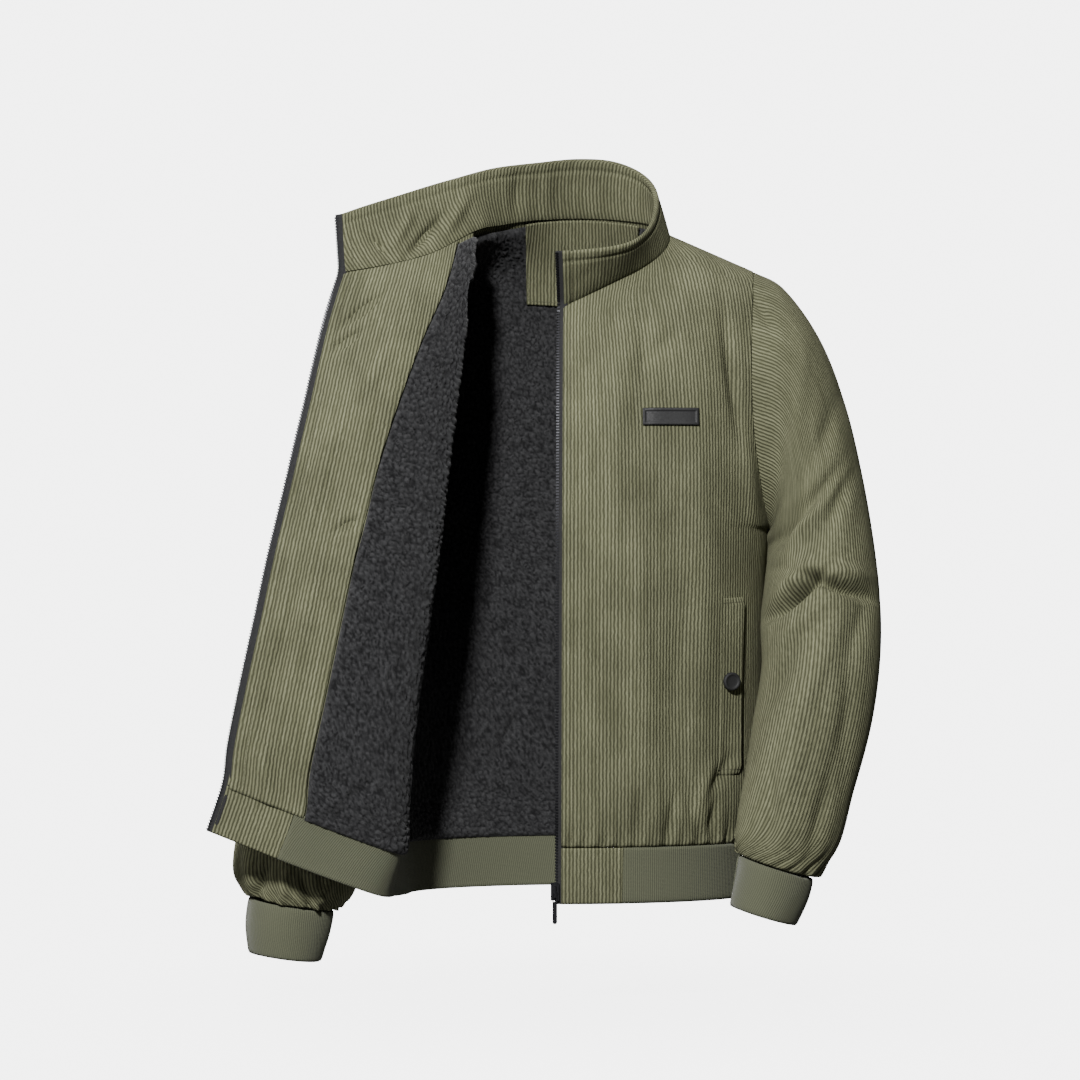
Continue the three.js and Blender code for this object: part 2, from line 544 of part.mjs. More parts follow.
function addSleeves() {
  const last = 1 - SEAM_V;
  const left = sleeveSurface(LEFT_SLEEVE, 1, LEFT_FOLDS);
  const right = sleeveSurface(RIGHT_SLEEVE, -1, RIGHT_FOLDS);
  part.add(tube("left_sleeve", left, 0, last, SHELL, [20, 22], OLIVE));
  part.add(tube("right_sleeve", right, 0, last, SHELL, [20, 20], OLIVE));
  part.add(tube("left_cuff", cuffSurface(LEFT_CUFF, 1), 0, 1, KNIT, [20, 2], KNIT_OLIVE));
  part.add(tube("right_cuff", cuffSurface(RIGHT_CUFF, -1), 0, 1, KNIT, [20, 2], KNIT_OLIVE));
}

// The u at which a panel's surface passes an X, at height v.
function uAtX(surface, x, v) {
  let low = 0;
  let high = 1;
  for (let i = 0; i < HALVINGS; i++) {
    const middle = (low + high) / 2;
    if (surface(middle, v).x < x) low = middle;
    else high = middle;
  }
  return low;
}

function vAtZ(surface, z, u) {
  let low = 0;
  let high = 1;
  for (let i = 0; i < HALVINGS; i++) {
    const middle = (low + high) / 2;
    if (surface(u, middle).z < z) low = middle;
    else high = middle;
  }
  return low;
}

function addTrim() {
  const u0 = uAtX(leftShell, LABEL.left, LABEL.height);
  const u1 = uAtX(leftShell, LABEL.right, LABEL.height);
  const label = (a, b) => {
    const u = mix(u0, u1, a);
    return leftShell(u, vAtZ(leftShell, mix(LABEL.bottom, LABEL.top, b), u));
  };
  part.add(wall("chest_label", label, whole, flat(GAP), flat(GAP + LABEL.thick), [4, 2], BLACK));
  const thick = [flat(WELT.clear), flat(WELT.clear + WELT.thick)];
  const leftWelt = span(WELT.from, WELT.to, WELT.bottom, WELT.top);
  const rightWelt = span(RIGHT_WELT.from, RIGHT_WELT.to, WELT.bottom, WELT.top);
  part.add(wall("pocket_welt_left", leftShell, leftWelt, ...thick, [3, 8], OLIVE));
  part.add(wall("pocket_welt_right", rightShell, rightWelt, ...thick, [3, 8], OLIVE));
  part.add(snap("snap_left", leftShell, (WELT.from + WELT.to) / 2));
  part.add(snap("snap_right", rightShell, (RIGHT_WELT.from + RIGHT_WELT.to) / 2));
}

function snap(name, surface, u) {
  const base = WELT.clear + WELT.thick + SNAP.lift;
  const geometry = new THREE.LatheGeometry([
    new THREE.Vector2(0, base),
    new THREE.Vector2(SNAP.radius, base),
    new THREE.Vector2(SNAP.radius, base + SNAP.height / 2),
    new THREE.Vector2(SNAP.radius - SNAP.bevel, base + SNAP.height),
    new THREE.Vector2(0, base + SNAP.height - SNAP.dish),
  ], SNAP_SIDES);
  const mesh = dressMesh(name, geometry, BLACK);
  mesh.position.copy(surface(u, SNAP.along));
  mesh.quaternion.setFromUnitVectors(point(0, 1, 0), outwardAt(surface, u, SNAP.along));
  return mesh;
}

// One edge from the hem to the collar's rim, as a front edge and a collar end joined.
function leftEdge(t) {
  const { split, frontTop, collarFrom } = ZIP_EDGE;
  if (t < split) return leftFront(0, (t / split) * frontTop);
  return collar(0, mix(collarFrom, 1, (t - split) / (1 - split)));
}

function rightEdge(t) {
  const { split, frontTop, collarFrom } = ZIP_EDGE;
  if (t < split) return rightFront(1, (t / split) * frontTop);
  return collar(1, mix(collarFrom, 1, (t - split) / (1 - split)));
}

// A zip half: a thin tape along the edge with a thicker bead of teeth at its rim.
function zipHalf(name, edgeAt, away) {
  const width = ZIP.tape + ZIP.bead;
  const surface = (u, v) => edgeAt(v).addScaledVector(away(v), ZIP.clear + width * u);
  const reach = (share) => (u) => {
    const half = u > ZIP.tape / width - EDGE_STEP ? ZIP.beadThick / 2 : ZIP.tapeThick / 2;
    return -ZIP.inset + share * half;
  };
  return wall(name, surface, whole, reach(-1), reach(1), [4, 26], METAL);
}

function addZip() {
  const leftAway = () => point(-1, 0, 0);
  const rightAway = (t) => {
    const v = Math.min(t / ZIP_EDGE.split, 1) * ZIP_EDGE.frontTop;
    return rightFront(1, v).sub(rightFront(1 - EDGE_STEP, v)).normalize();
  };
  const flipped = (t) => leftEdge(1 - t);
  part.add(zipHalf("zip_left", flipped, leftAway));
  part.add(zipHalf("zip_right", rightEdge, rightAway));
}

function extruded(outline, holes, depth) {
  const shape = new THREE.Shape(outline.map((p) => new THREE.Vector2(p[0], p[1])));
  for (const hole of holes) shape.holes.push(new THREE.Path(hole.map((p) => new THREE.Vector2(p[0], p[1]))));
  return new THREE.ExtrudeGeometry(shape, { depth, bevelEnabled: false });
}

// Slider and pull stand on the left zip half: x from the front's edge, y from the bead's middle.
function sliderPlace() {
  const middle = leftFront(0, SLIDER_ROW / LAST_ROW);
  return point(middle.x - ZIP.clear, middle.y + ZIP.inset, SLIDER.top);
}

function addSlider() {
  const half = SLIDER.thick / 2;
  const cavity = SLIDER.cavity / 2;
  const slot = SLIDER.slot / 2;
  const near = -SLIDER.fromEdge;
  const inner = -ZIP.tape + SLIDER.overTape;
  const outer = -ZIP.tape - ZIP.bead - SLIDER.pastBead;
  const far = outer - SLIDER.wall;
  const channel = [
    [near, -half], [near, -slot], [inner, -slot], [inner, -cavity], [outer, -cavity], [outer, cavity],
    [inner, cavity], [inner, slot], [near, slot], [near, half], [far, half], [far, -half],
  ].reverse();
  const body = extruded(channel, [], SLIDER.height).translate(0, 0, -SLIDER.height);
  const root = -half + ARCH.root;
  const tip = -half - ARCH.reach;
  const arch = extruded([
    [root, -ARCH.top], [tip, -ARCH.top], [tip, -ARCH.bottom], [root, -ARCH.bottom],
    [root, -ARCH.bottom + ARCH.bar], [tip + ARCH.bar, -ARCH.bottom + ARCH.bar],
    [tip + ARCH.bar, -ARCH.top - ARCH.bar], [root, -ARCH.top - ARCH.bar],
  ], [], ARCH.width);
  arch.applyMatrix4(new THREE.Matrix4().makeBasis(point(0, 1, 0), point(0, 0, 1), point(1, 0, 0)));
  const middle = (far + near) / 2;
  arch.translate(middle - ARCH.width / 2, 0, 0);
  const place = sliderPlace();
  const joined = fromSolid(toSolid(body).add(toSolid(arch))).translate(place.x, place.y, place.z);
  part.add(dressMesh("zip_slider", joined, METAL));
  const round = [];
  for (let i = 0; i <= PULL_STEPS; i++) {
    const angle = Math.PI + (Math.PI * i) / PULL_STEPS;
    round.push([(PULL.width / 2) * Math.cos(angle), -PULL.length + (PULL.width / 2) * (1 + Math.sin(angle))]);
  }
  const side = PULL.slit / 2;
  const window = [[-side, -PULL.eye], [side, -PULL.eye], [side, -PULL.window], [-side, -PULL.window]];
  const outline = [...round, [PULL.width / 2, PULL.eye], [-PULL.width / 2, PULL.eye]];
  const pull = extruded(outline, [window], PULL.thick).translate(0, 0, -PULL.thick / 2);
  pull.applyMatrix4(new THREE.Matrix4().makeBasis(point(1, 0, 0), point(0, 0, 1), point(0, -1, 0)));
  const axis = point(place.x + middle, place.y - half - PULL.standOff, place.z - PULL.axisDrop);
  part.add(dressMesh("zip_pull", pull.translate(axis.x, axis.y, axis.z), METAL));
}

addShells();
addHem();
addLinings();
addCollar();
addSleeves();
addTrim();
addZip();
addSlider();

export default part;
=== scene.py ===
"""A corduroy bomber jacket with a stand collar, filled out as worn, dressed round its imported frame.

The right front is swung open and shows its facing and its pile lining; the left front hangs straight.
Tables are in millimetres, in the frame's own axes; every mesh is in metres.
"""

import logging
import math
from dataclasses import dataclass, field
from enum import Enum
from typing import Callable, Optional, Sequence

import bmesh
import bpy
import numpy as np
from mathutils import Matrix, Vector

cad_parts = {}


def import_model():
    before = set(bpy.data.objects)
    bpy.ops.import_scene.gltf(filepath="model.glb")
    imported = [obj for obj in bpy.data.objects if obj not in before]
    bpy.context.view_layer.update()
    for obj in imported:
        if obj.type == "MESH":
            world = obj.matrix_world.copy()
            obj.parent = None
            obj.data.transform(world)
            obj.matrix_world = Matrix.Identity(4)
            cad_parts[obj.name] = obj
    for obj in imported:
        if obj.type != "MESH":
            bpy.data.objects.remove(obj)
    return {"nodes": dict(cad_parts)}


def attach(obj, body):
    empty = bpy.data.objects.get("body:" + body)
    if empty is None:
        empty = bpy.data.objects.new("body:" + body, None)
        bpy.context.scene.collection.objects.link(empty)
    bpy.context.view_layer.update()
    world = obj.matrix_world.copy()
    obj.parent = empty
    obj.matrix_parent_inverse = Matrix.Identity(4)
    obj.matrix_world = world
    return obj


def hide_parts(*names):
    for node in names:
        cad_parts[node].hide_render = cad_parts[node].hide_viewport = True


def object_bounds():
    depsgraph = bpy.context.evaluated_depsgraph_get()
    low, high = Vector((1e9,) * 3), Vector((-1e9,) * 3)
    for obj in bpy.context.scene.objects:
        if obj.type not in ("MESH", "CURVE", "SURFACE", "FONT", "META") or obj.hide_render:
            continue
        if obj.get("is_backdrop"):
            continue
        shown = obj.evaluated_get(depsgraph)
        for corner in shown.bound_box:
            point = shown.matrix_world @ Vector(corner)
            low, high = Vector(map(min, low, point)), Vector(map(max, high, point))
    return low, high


LOG = logging.getLogger("jacket")
MM = 0.001
BODY_NAME = "garment"
TINY = 1e-9
WALE = 3.6  # one corduroy cord and its valley, in mm
SEAM_CLEAR = 0.0003  # share of a panel's height left free at a seam

GridFn = Callable[[np.ndarray, np.ndarray], np.ndarray]

# The armhole: X, heights of its top and underarm, middle and half depth in Y, how far its sides dip in and
# how far its underarm spreads out.
ARMHOLE = dict(x=176.0, top=-31.0, bottom=-290.0, y=4.0, depth=66.0, dip=5.0, spread=18.0)
HEAD_UNDER = 1.2  # how far a sleeve's head is sewn in under the body's edge
SIDE_Y = 8.0  # depth of the side seam
SEAM_ABOVE = (200.0, -250.0)  # X and Z that the side seam heads for past the underarm
ARM_ROW = 6  # the tables' row at the underarm
LAST_ROW = 12  # the row at neck and shoulder
FRONT_EDGE = (-16.5, -14.4)  # X of the straight front's free edge at hem and neck
NECK_SHARE = 0.6  # share of the straight front's width that ends at the neck
BACK_NECK_SHARE = 0.55
BACK_RISE = 0.35  # how much of a front row's rise the back has
LEFT_BLEND, BACK_BLEND, RIGHT_BLEND = 0.12, 0.3, 0.35  # widths over which neck and shoulder rows meet
NECK_LEFT, NECK_BACK, NECK_RIGHT, NECK_END = 4, 7, 10, 13  # stations of the neck seam's table

# Side seam height and half width, front depth and height, back depth and height, turn, rise, push.
BODY = np.array([
    [-655, 172, -105, -655, 98, -653, 90, 0, 0],
    [-600, 176, -107, -600, 103, -598, 90, 0, 0],
    [-560, 185, -114, -560, 109, -556, 90, 0, 0],
    [-480, 187, -117, -485, 112, -480, 90, 0, 0],
    [-400, 188, -119, -410, 113, -404, 90, 0, 0],
    [-335, 190, -120, -345, 114, -336, 90, 0, 0],
    [-290, 194, -119, -292, 114, -284, 88, 4, 0],
    [0, 0, -115, -250, 115, -232, 78, 22, 0],
    [0, 0, -109, -208, 114, -180, 68, 26, 2],
    [0, 0, -101, -170, 110, -128, 62, 27, 2],
    [0, 0, -91, -136, 102, -76, 60, 28, 0],
    [0, 0, -79, -103, 86, -24, 60, 33, -12],
    [0, 0, -65, -70, 60, 29, 60, 0, 0],
], dtype=float)

# The right front: between side and fold, at the fold, beyond it and at the free edge, hem row first.
OPEN_FRONT = np.array([
    [[-183, -44, -652], [-200, -92, -646], [-268, -108, -620], [-356, -118, -584]],
    [[-179, -44, -602], [-181, -90, -601], [-250, -107, -574], [-341, -114, -538]],
    [[-182, -42, -560], [-178, -90, -560], [-245, -110, -530], [-336, -111, -500]],
    [[-179, -40, -484], [-171, -88, -485], [-234, -111, -460], [-324, -106, -440]],
    [[-175, -42, -406], [-159, -86, -405], [-221, -109, -388], [-310, -100, -375]],
    [[-172, -44, -340], [-149, -83, -340], [-210, -106, -328], [-299, -95, -322]],
    [[-172, -50, -292], [-142, -79, -290], [-202, -103, -283], [-290, -91, -283]],
    [[-166, -60, -258], [-137, -75, -245], [-196, -100, -243], [-281, -88, -245]],
    [[-156, -66, -210], [-131, -69, -195], [-188, -96, -200], [-272, -84, -205]],
    [[-148, -66, -152], [-125, -61, -145], [-180, -90, -155], [-263, -78, -166]],
    [[-142, -58, -98], [-118, -50, -95], [-174, -80, -110], [-254, -71, -124]],
    [[-140, -38, -44], [-110, -30, -42], [-170, -62, -66], [-244, -62, -80]],
], dtype=float)

# Neck seam and collar rim, from the left front round the back to the right front.
NECK_SEAM = np.array([
    [-14, -65, -70], [22, -61, -53], [58, -48, -35], [84, -26, -15], [93, 0, 5], [78, 33, 20], [42, 54, 27],
    [0, 60, 29], [-42, 54, 27], [-80, 30, 19], [-104, 2, 10], [-146, -24, -14], [-192, -40, -27],
    [-231, -50, -34],
], dtype=float)
COLLAR_RIM = np.array([
    [-16, -95, -19], [27, -92, -16], [56, -80, -8], [75, -46, 14], [80, -8, 46], [68, 20, 68], [38, 30, 82],
    [0, 33, 85], [-40, 29, 81], [-84, 18, 74], [-125, 4, 61], [-166, -12, 47], [-206, -28, 33],
    [-235, -42, 22],
], dtype=float)

# Sleeve and cuff rings: outer X and Z, inner X and Z, middle and half depth in Y.
LEFT_SLEEVE = [
    [207, -49, 197.5, -294, 2, 68], [243, -100, 196, -300, 0, 71], [268, -165, 195.5, -309, -3, 73],
    [285, -240, 192, -322, -14, 72], [296, -315, 186, -347, -31, 69], [300, -375, 181, -382, -47, 67],
    [298, -430, 181, -427, -61, 65], [291, -490, 172, -477, -73, 62], [279, -545, 163, -531, -84, 58],
    [262, -598, 154, -582, -91, 53], [232, -630, 155, -606, -97, 42],
]
RIGHT_SLEEVE = [
    [207, -49, 198.5, -294, 3, 65], [240, -98, 200.5, -300, 4, 66], [263, -160, 200.5, -309, 5, 66],
    [280, -235, 199, -322, 5, 66], [294, -315, 198, -350, 4, 64], [305, -390, 200, -410, 2, 62],
    [316, -460, 204, -475, -2, 60], [328, -530, 210, -540, -8, 56], [341, -590, 215, -600, -15, 52],
    [344, -630, 221, -648, -18, 48], [329, -653.5, 240, -668.5, -20, 41],
]
LEFT_CUFF = [
    [231, -631, 155.5, -607, -97, 41], [225, -652, 152, -630, -98, 40], [214, -676, 147, -656, -100, 37],
]
RIGHT_CUFF = [
    [328.5, -654.5, 240.5, -669.5, -20, 41], [331, -682, 246, -694, -21, 40], [328, -709, 254, -719, -22, 37],
]

# The u at which the open front's facing meets its lining, hem row first.
FACING_SEAM = np.array([0.8, 0.8, 0.8, 0.79, 0.785, 0.78, 0.77, 0.76, 0.745, 0.72, 0.68, 0.62, 0.56])


def blend_rows(points: np.ndarray, t: np.ndarray, before: Optional[np.ndarray] = None,
               after: Optional[np.ndarray] = None) -> np.ndarray:
    """A smooth curve through evenly spaced points.

    Args:
        points: The points, first axis along the curve.
        t: Where to read it, 0 at the first point and count - 1 at the last.
        before: A point ahead of the first, which sets the slope there.
        after: A point past the last.

    Returns:
        One point, or one row of points, for each value of t.
    """
    first = 2 * points[0] - points[1] if before is None else before
    last = 2 * points[-1] - points[-2] if after is None else after
    padded = np.concatenate([first[None], points, last[None]])
    i = np.clip(np.floor(t).astype(int), 0, len(points) - 2)
    f = (t - i).reshape((-1,) + (1,) * (points.ndim - 1))
    a, b, c, d = padded[i], padded[i + 1], padded[i + 2], padded[i + 3]
    return b + 0.5 * f * (c - a + f * (2 * a - 5 * b + 4 * c - d + f * (3 * (b - c) + d - a)))


def smooth_step(x: np.ndarray, low: float, high: float) -> np.ndarray:
    """0 below low, 1 above high and smooth between."""
    t = np.clip((x - low) / (high - low), 0, 1)
    return t * t * (3 - 2 * t)


def mix(a: np.ndarray, b: np.ndarray, t: np.ndarray) -> np.ndarray:
    """The value a share t of the way from a to b."""
    return a + (b - a) * t


def armhole(side: int, degrees: np.ndarray) -> np.ndarray:
    """Points of the armhole's seam: 0 degrees at the shoulder, 90 in front, 180 at the underarm.

    Args:
        side: 1 for the wearer's left, -1 for the right.
        degrees: Angles round the seam.

    Returns:
        One point for each angle.
    """
    c, s = np.cos(np.radians(degrees)), np.sin(np.radians(degrees))
    x = ARMHOLE["x"] - ARMHOLE["dip"] * s * s + ARMHOLE["spread"] * ((1 - c) / 2) ** 4
    z = mix(ARMHOLE["bottom"], ARMHOLE["top"], (1 + c) / 2)
    return np.stack([side * x, ARMHOLE["y"] - ARMHOLE["depth"] * s, z], axis=-1)


def neck_seam(station: np.ndarray) -> np.ndarray:
    """Points of the neck seam at stations of its table."""
    return blend_rows(NECK_SEAM, np.atleast_1d(station))


def section_end(side: int, forward: int, rows: np.ndarray) -> np.ndarray:
    """Where body sections end: on the side seam below the arm, on the armhole above it.

    Args:
        side: 1 for the wearer's left, -1 for the right.
        forward: 1 for a front, -1 for the back.
        rows: Rows of the body table, whole or between.

    Returns:
        One point for each row.
    """
    rows = np.atleast_1d(np.asarray(rows, dtype=float))
    below = BODY[:ARM_ROW + 1]
    seam = np.stack([side * below[:, 1], np.full(ARM_ROW + 1, SIDE_Y), below[:, 0]], axis=-1)
    above = np.array([side * SEAM_ABOVE[0], SIDE_Y, SEAM_ABOVE[1]])
    low = blend_rows(seam, np.minimum(rows, ARM_ROW), after=above)
    high = armhole(side, forward * 180 * (LAST_ROW - rows) / (LAST_ROW - ARM_ROW))
    return np.where((rows <= ARM_ROW)[:, None], low, high)


def quarter(middle: np.ndarray, end: np.ndarray, turn: float, t: np.ndarray) -> np.ndarray:
    """A quarter turn or less from the middle line to a section's end.

    Args:
        middle: X, Y and Z on the middle line.
        end: X, Y and Z where the section ends.
        turn: The angle in degrees that it turns through.
        t: Shares of the way.

    Returns:
        One point for each share.
    """
    angle = math.radians(turn)
    across = np.sin(angle * t) / math.sin(angle)
    deep = (1 - np.cos(angle * t)) / (1 - math.cos(angle))
    return np.stack([mix(middle[i], end[i], share) for i, share in enumerate((across, deep, t))], axis=-1)


def front_row(row: int, u: np.ndarray) -> np.ndarray:
    """One section of the straight front, from its free edge to side seam or armhole.

    Args:
        row: The section's row in the tables.
        u: Shares of the width, across the cloth.

    Returns:
        One point for each u.
    """
    if row == LAST_ROW:
        neck = neck_seam(np.clip(NECK_LEFT * u / NECK_SHARE, 0, NECK_LEFT))
        t = np.clip((u - NECK_SHARE) / (1 - NECK_SHARE), 0, 1)[:, None]
        shoulder = mix(neck_seam(np.array([NECK_LEFT])), armhole(1, np.array([0.0])), t)
        return np.where((u < NECK_SHARE)[:, None], neck, shoulder)
    r = BODY[row]
    middle = (mix(FRONT_EDGE[0], FRONT_EDGE[1], row / LAST_ROW), r[2], r[3])
    p = quarter(middle, section_end(1, 1, row)[0], r[6], u)
    hump = np.sin(np.pi * np.clip(u, 0, 1)) ** 1.3
    p[:, 2] += r[7] * hump
    p[:, 1] -= r[8] * hump
    return p


def back_row(row: int, u: np.ndarray) -> np.ndarray:
    """One section of the back, from the left side seam to the right one.

    Args:
        row: The section's row in the tables.
        u: Shares of the width, across the cloth.

    Returns:
        One point for each u.
    """
    half = np.abs(1 - 2 * u)
    left = u < 0.5
    if row == LAST_ROW:
        end = np.where(left, NECK_LEFT, NECK_RIGHT)
        neck = neck_seam(mix(NECK_BACK, end, np.clip(half / BACK_NECK_SHARE, 0, 1)))
        t = np.clip((half - BACK_NECK_SHARE) / (1 - BACK_NECK_SHARE), 0, 1)[:, None]
        tip = np.where(left[:, None], armhole(1, np.array([0.0])), armhole(-1, np.array([0.0])))
        shoulder = mix(neck_seam(end), tip, t)
        return np.where((half < BACK_NECK_SHARE)[:, None], neck, shoulder)
    r = BODY[row]
    middle = (0.0, r[4], r[5])
    p = np.where(left[:, None], quarter(middle, section_end(1, -1, row)[0], r[6], half),
                 quarter(middle, section_end(-1, -1, row)[0], r[6], half))
    p[:, 2] += r[7] * BACK_RISE * np.sin(np.pi * half)
    return p


def open_row(row: int, u: np.ndarray) -> np.ndarray:
    """One section of the open front, from the side seam round the fold to its free edge.

    Args:
        row: The section's row in the tables.
        u: Shares of the width, across the cloth.

    Returns:
        One point for each u.
    """
    if row == LAST_ROW:
        t = np.clip(2 * u, 0, 1)[:, None]
        shoulder = mix(armhole(-1, np.array([0.0])), neck_seam(np.array([NECK_RIGHT])), t)
        neck = neck_seam(mix(NECK_RIGHT, NECK_END, np.clip(2 * u - 1, 0, 1)))
        return np.where((u < 0.5)[:, None], shoulder, neck)
    stops = np.concatenate([section_end(-1, 1, row), OPEN_FRONT[row]])
    return blend_rows(stops, 4 * u)


def all_rows(section: Callable, u: np.ndarray) -> np.ndarray:
    """Every section of a panel, hem row first."""
    return np.stack([section(row, u) for row in range(LAST_ROW + 1)])


def left_front(u: np.ndarray, v: np.ndarray) -> np.ndarray:
    """The straight front's outer face on a grid of u by v.

    Args:
        u: Shares of the width, across the cloth.
        v: Shares of the height, up the cloth.

    Returns:
        One point for each place, rows by v and columns by u.
    """
    rows = all_rows(front_row, u)
    half = BACK_NECK_SHARE + (1 - BACK_NECK_SHARE) * (u - NECK_SHARE) / (1 - NECK_SHARE)
    behind = back_row(LAST_ROW - 1, (1 - half) / 2)
    after = mix(2 * rows[-1] - rows[-2], behind, smooth_step(u, NECK_SHARE, NECK_SHARE + LEFT_BLEND)[:, None])
    grid = blend_rows(rows, v * LAST_ROW, after=after)
    edge_rows = all_rows(front_row, np.array([1.0]))
    edge = blend_rows(edge_rows, v * LAST_ROW, after=back_row(LAST_ROW - 1, np.array([0.0])))[:, 0]
    shift = section_end(1, 1, v * LAST_ROW) - edge
    return grid + shift[:, None] * smooth_step(u, 0.5, 1)[None, :, None]


def back_panel(u: np.ndarray, v: np.ndarray) -> np.ndarray:
    """The back's outer face on a grid of u by v.

    Args:
        u: Shares of the width, across the cloth.
        v: Shares of the height, up the cloth.

    Returns:
        One point for each place, rows by v and columns by u.
    """
    rows = all_rows(back_row, u)
    half = np.abs(1 - 2 * u)
    left = u < 0.5
    shoulder = (half - BACK_NECK_SHARE) / (1 - BACK_NECK_SHARE)
    ahead = np.where(left[:, None], front_row(LAST_ROW - 1, NECK_SHARE + (1 - NECK_SHARE) * shoulder),
                     open_row(LAST_ROW - 1, (1 - shoulder) / 2))
    after = mix(2 * rows[-1] - rows[-2], ahead, smooth_step(shoulder, 0, BACK_BLEND)[:, None])
    grid = blend_rows(rows, v * LAST_ROW, after=after)
    edge_rows = all_rows(back_row, np.array([0.0, 1.0]))
    fronts = [front_row(LAST_ROW - 1, np.array([1.0])), open_row(LAST_ROW - 1, np.array([0.0]))]
    edge = blend_rows(edge_rows, v * LAST_ROW, after=np.concatenate(fronts))
    left_shift = section_end(1, -1, v * LAST_ROW) - edge[:, 0]
    right_shift = section_end(-1, -1, v * LAST_ROW) - edge[:, 1]
    shift = np.where(left[None, :, None], left_shift[:, None], right_shift[:, None])
    return grid + shift * smooth_step(half, 0.5, 1)[None, :, None]


def right_front(u: np.ndarray, v: np.ndarray) -> np.ndarray:
    """The open front's outer face on a grid of u by v.

    Args:
        u: Shares of the width, across the cloth.
        v: Shares of the height, up the cloth.

    Returns:
        One point for each place, rows by v and columns by u.
    """
    rows = all_rows(open_row, u)
    half = BACK_NECK_SHARE + (1 - BACK_NECK_SHARE) * (1 - 2 * u)
    behind = back_row(LAST_ROW - 1, (1 + half) / 2)
    after = mix(behind, 2 * rows[-1] - rows[-2], smooth_step(u, RIGHT_BLEND, 0.5)[:, None])
    grid = blend_rows(rows, v * LAST_ROW, after=after)
    edge_rows = all_rows(open_row, np.array([0.0]))
    edge = blend_rows(edge_rows, v * LAST_ROW, after=back_row(LAST_ROW - 1, np.array([1.0])))[:, 0]
    shift = section_end(-1, 1, v * LAST_ROW) - edge
    return grid + shift[:, None] * (1 - smooth_step(u, 0, RIGHT_BLEND))[None, :, None]


def collar_band(u: np.ndarray, v: np.ndarray) -> np.ndarray:
    """The collar's outer face, from neck seam to rim.

    Args:
        u: Shares of the width, across the cloth.
        v: Shares of the height, up the cloth.

    Returns:
        One point for each place, rows by v and columns by u.
    """
    seam = neck_seam(u * NECK_END)
    rim = blend_rows(COLLAR_RIM, u * NECK_END)
    return mix(seam[None], rim[None], v[:, None, None])


def ring(row: Sequence[float], side: int, u: np.ndarray) -> np.ndarray:
    """One ring of a sleeve or cuff.

    Args:
        row: The ring: outer X and Z, inner X and Z, middle and half depth in Y.
        side: 1 for the wearer's left, -1 for the right.
        u: Shares of the width, across the cloth.

    Returns:
        One point for each u.
    """
    angle = 2 * np.pi * u * side
    share = (1 - np.cos(angle)) / 2
    x = side * mix(row[0], row[2], share)
    z = mix(row[1], row[3], share)
    return np.stack([x, row[4] - row[5] * np.sin(angle), z], axis=-1)


def sleeve_grid(table: list, side: int) -> GridFn:
    """The outer face of a sleeve, from armhole to cuff.

    Args:
        table: Its rings.
        side: 1 for the wearer's left, -1 for the right.

    Returns:
        The surface, with u round the tube and v from armhole to cuff.
    """
    def surface(u: np.ndarray, v: np.ndarray) -> np.ndarray:
        """The sleeve on a grid of u by v.

        Args:
            u: Shares of the width, across the cloth.
            v: Shares of the height, up the cloth.

        Returns:
            One point for each place, rows by v and columns by u.
        """
        head = armhole(side, 360 * u * side) - np.array([side * HEAD_UNDER, 0, 0])
        rows = np.stack([head] + [ring(r, side, u) for r in table])
        return blend_rows(rows, v * len(table))
    return surface


def cuff_grid(table: list, side: int) -> GridFn:
    """The outer face of a cuff.

    Args:
        table: Its rings.
        side: 1 for the wearer's left, -1 for the right.

    Returns:
        The surface, with u round the tube and v from seam to fold.
    """
    def surface(u: np.ndarray, v: np.ndarray) -> np.ndarray:
        """The cuff on a grid of u by v."""
        rows = np.stack([ring(r, side, u) for r in table])
        return blend_rows(rows, v * (len(table) - 1))
    return surface


def unit(vectors: np.ndarray) -> np.ndarray:
    """The same directions at a length of 1."""
    return vectors / np.maximum(np.linalg.norm(vectors, axis=-1, keepdims=True), TINY)


def lengths(points: np.ndarray, axis: int = 0) -> np.ndarray:
    """Lengths walked along one axis of a line or grid of points, from 0."""
    steps = np.linalg.norm(np.diff(points, axis=axis), axis=-1)
    return np.insert(np.cumsum(steps, axis=axis), 0, 0.0, axis=axis)


@dataclass
class Spot:
    """Places on a cloth: its own u and v, mm along it, points in mm and outward directions."""

    u: np.ndarray
    v: np.ndarray
    width: np.ndarray
    height: np.ndarray
    points: np.ndarray
    normals: np.ndarray


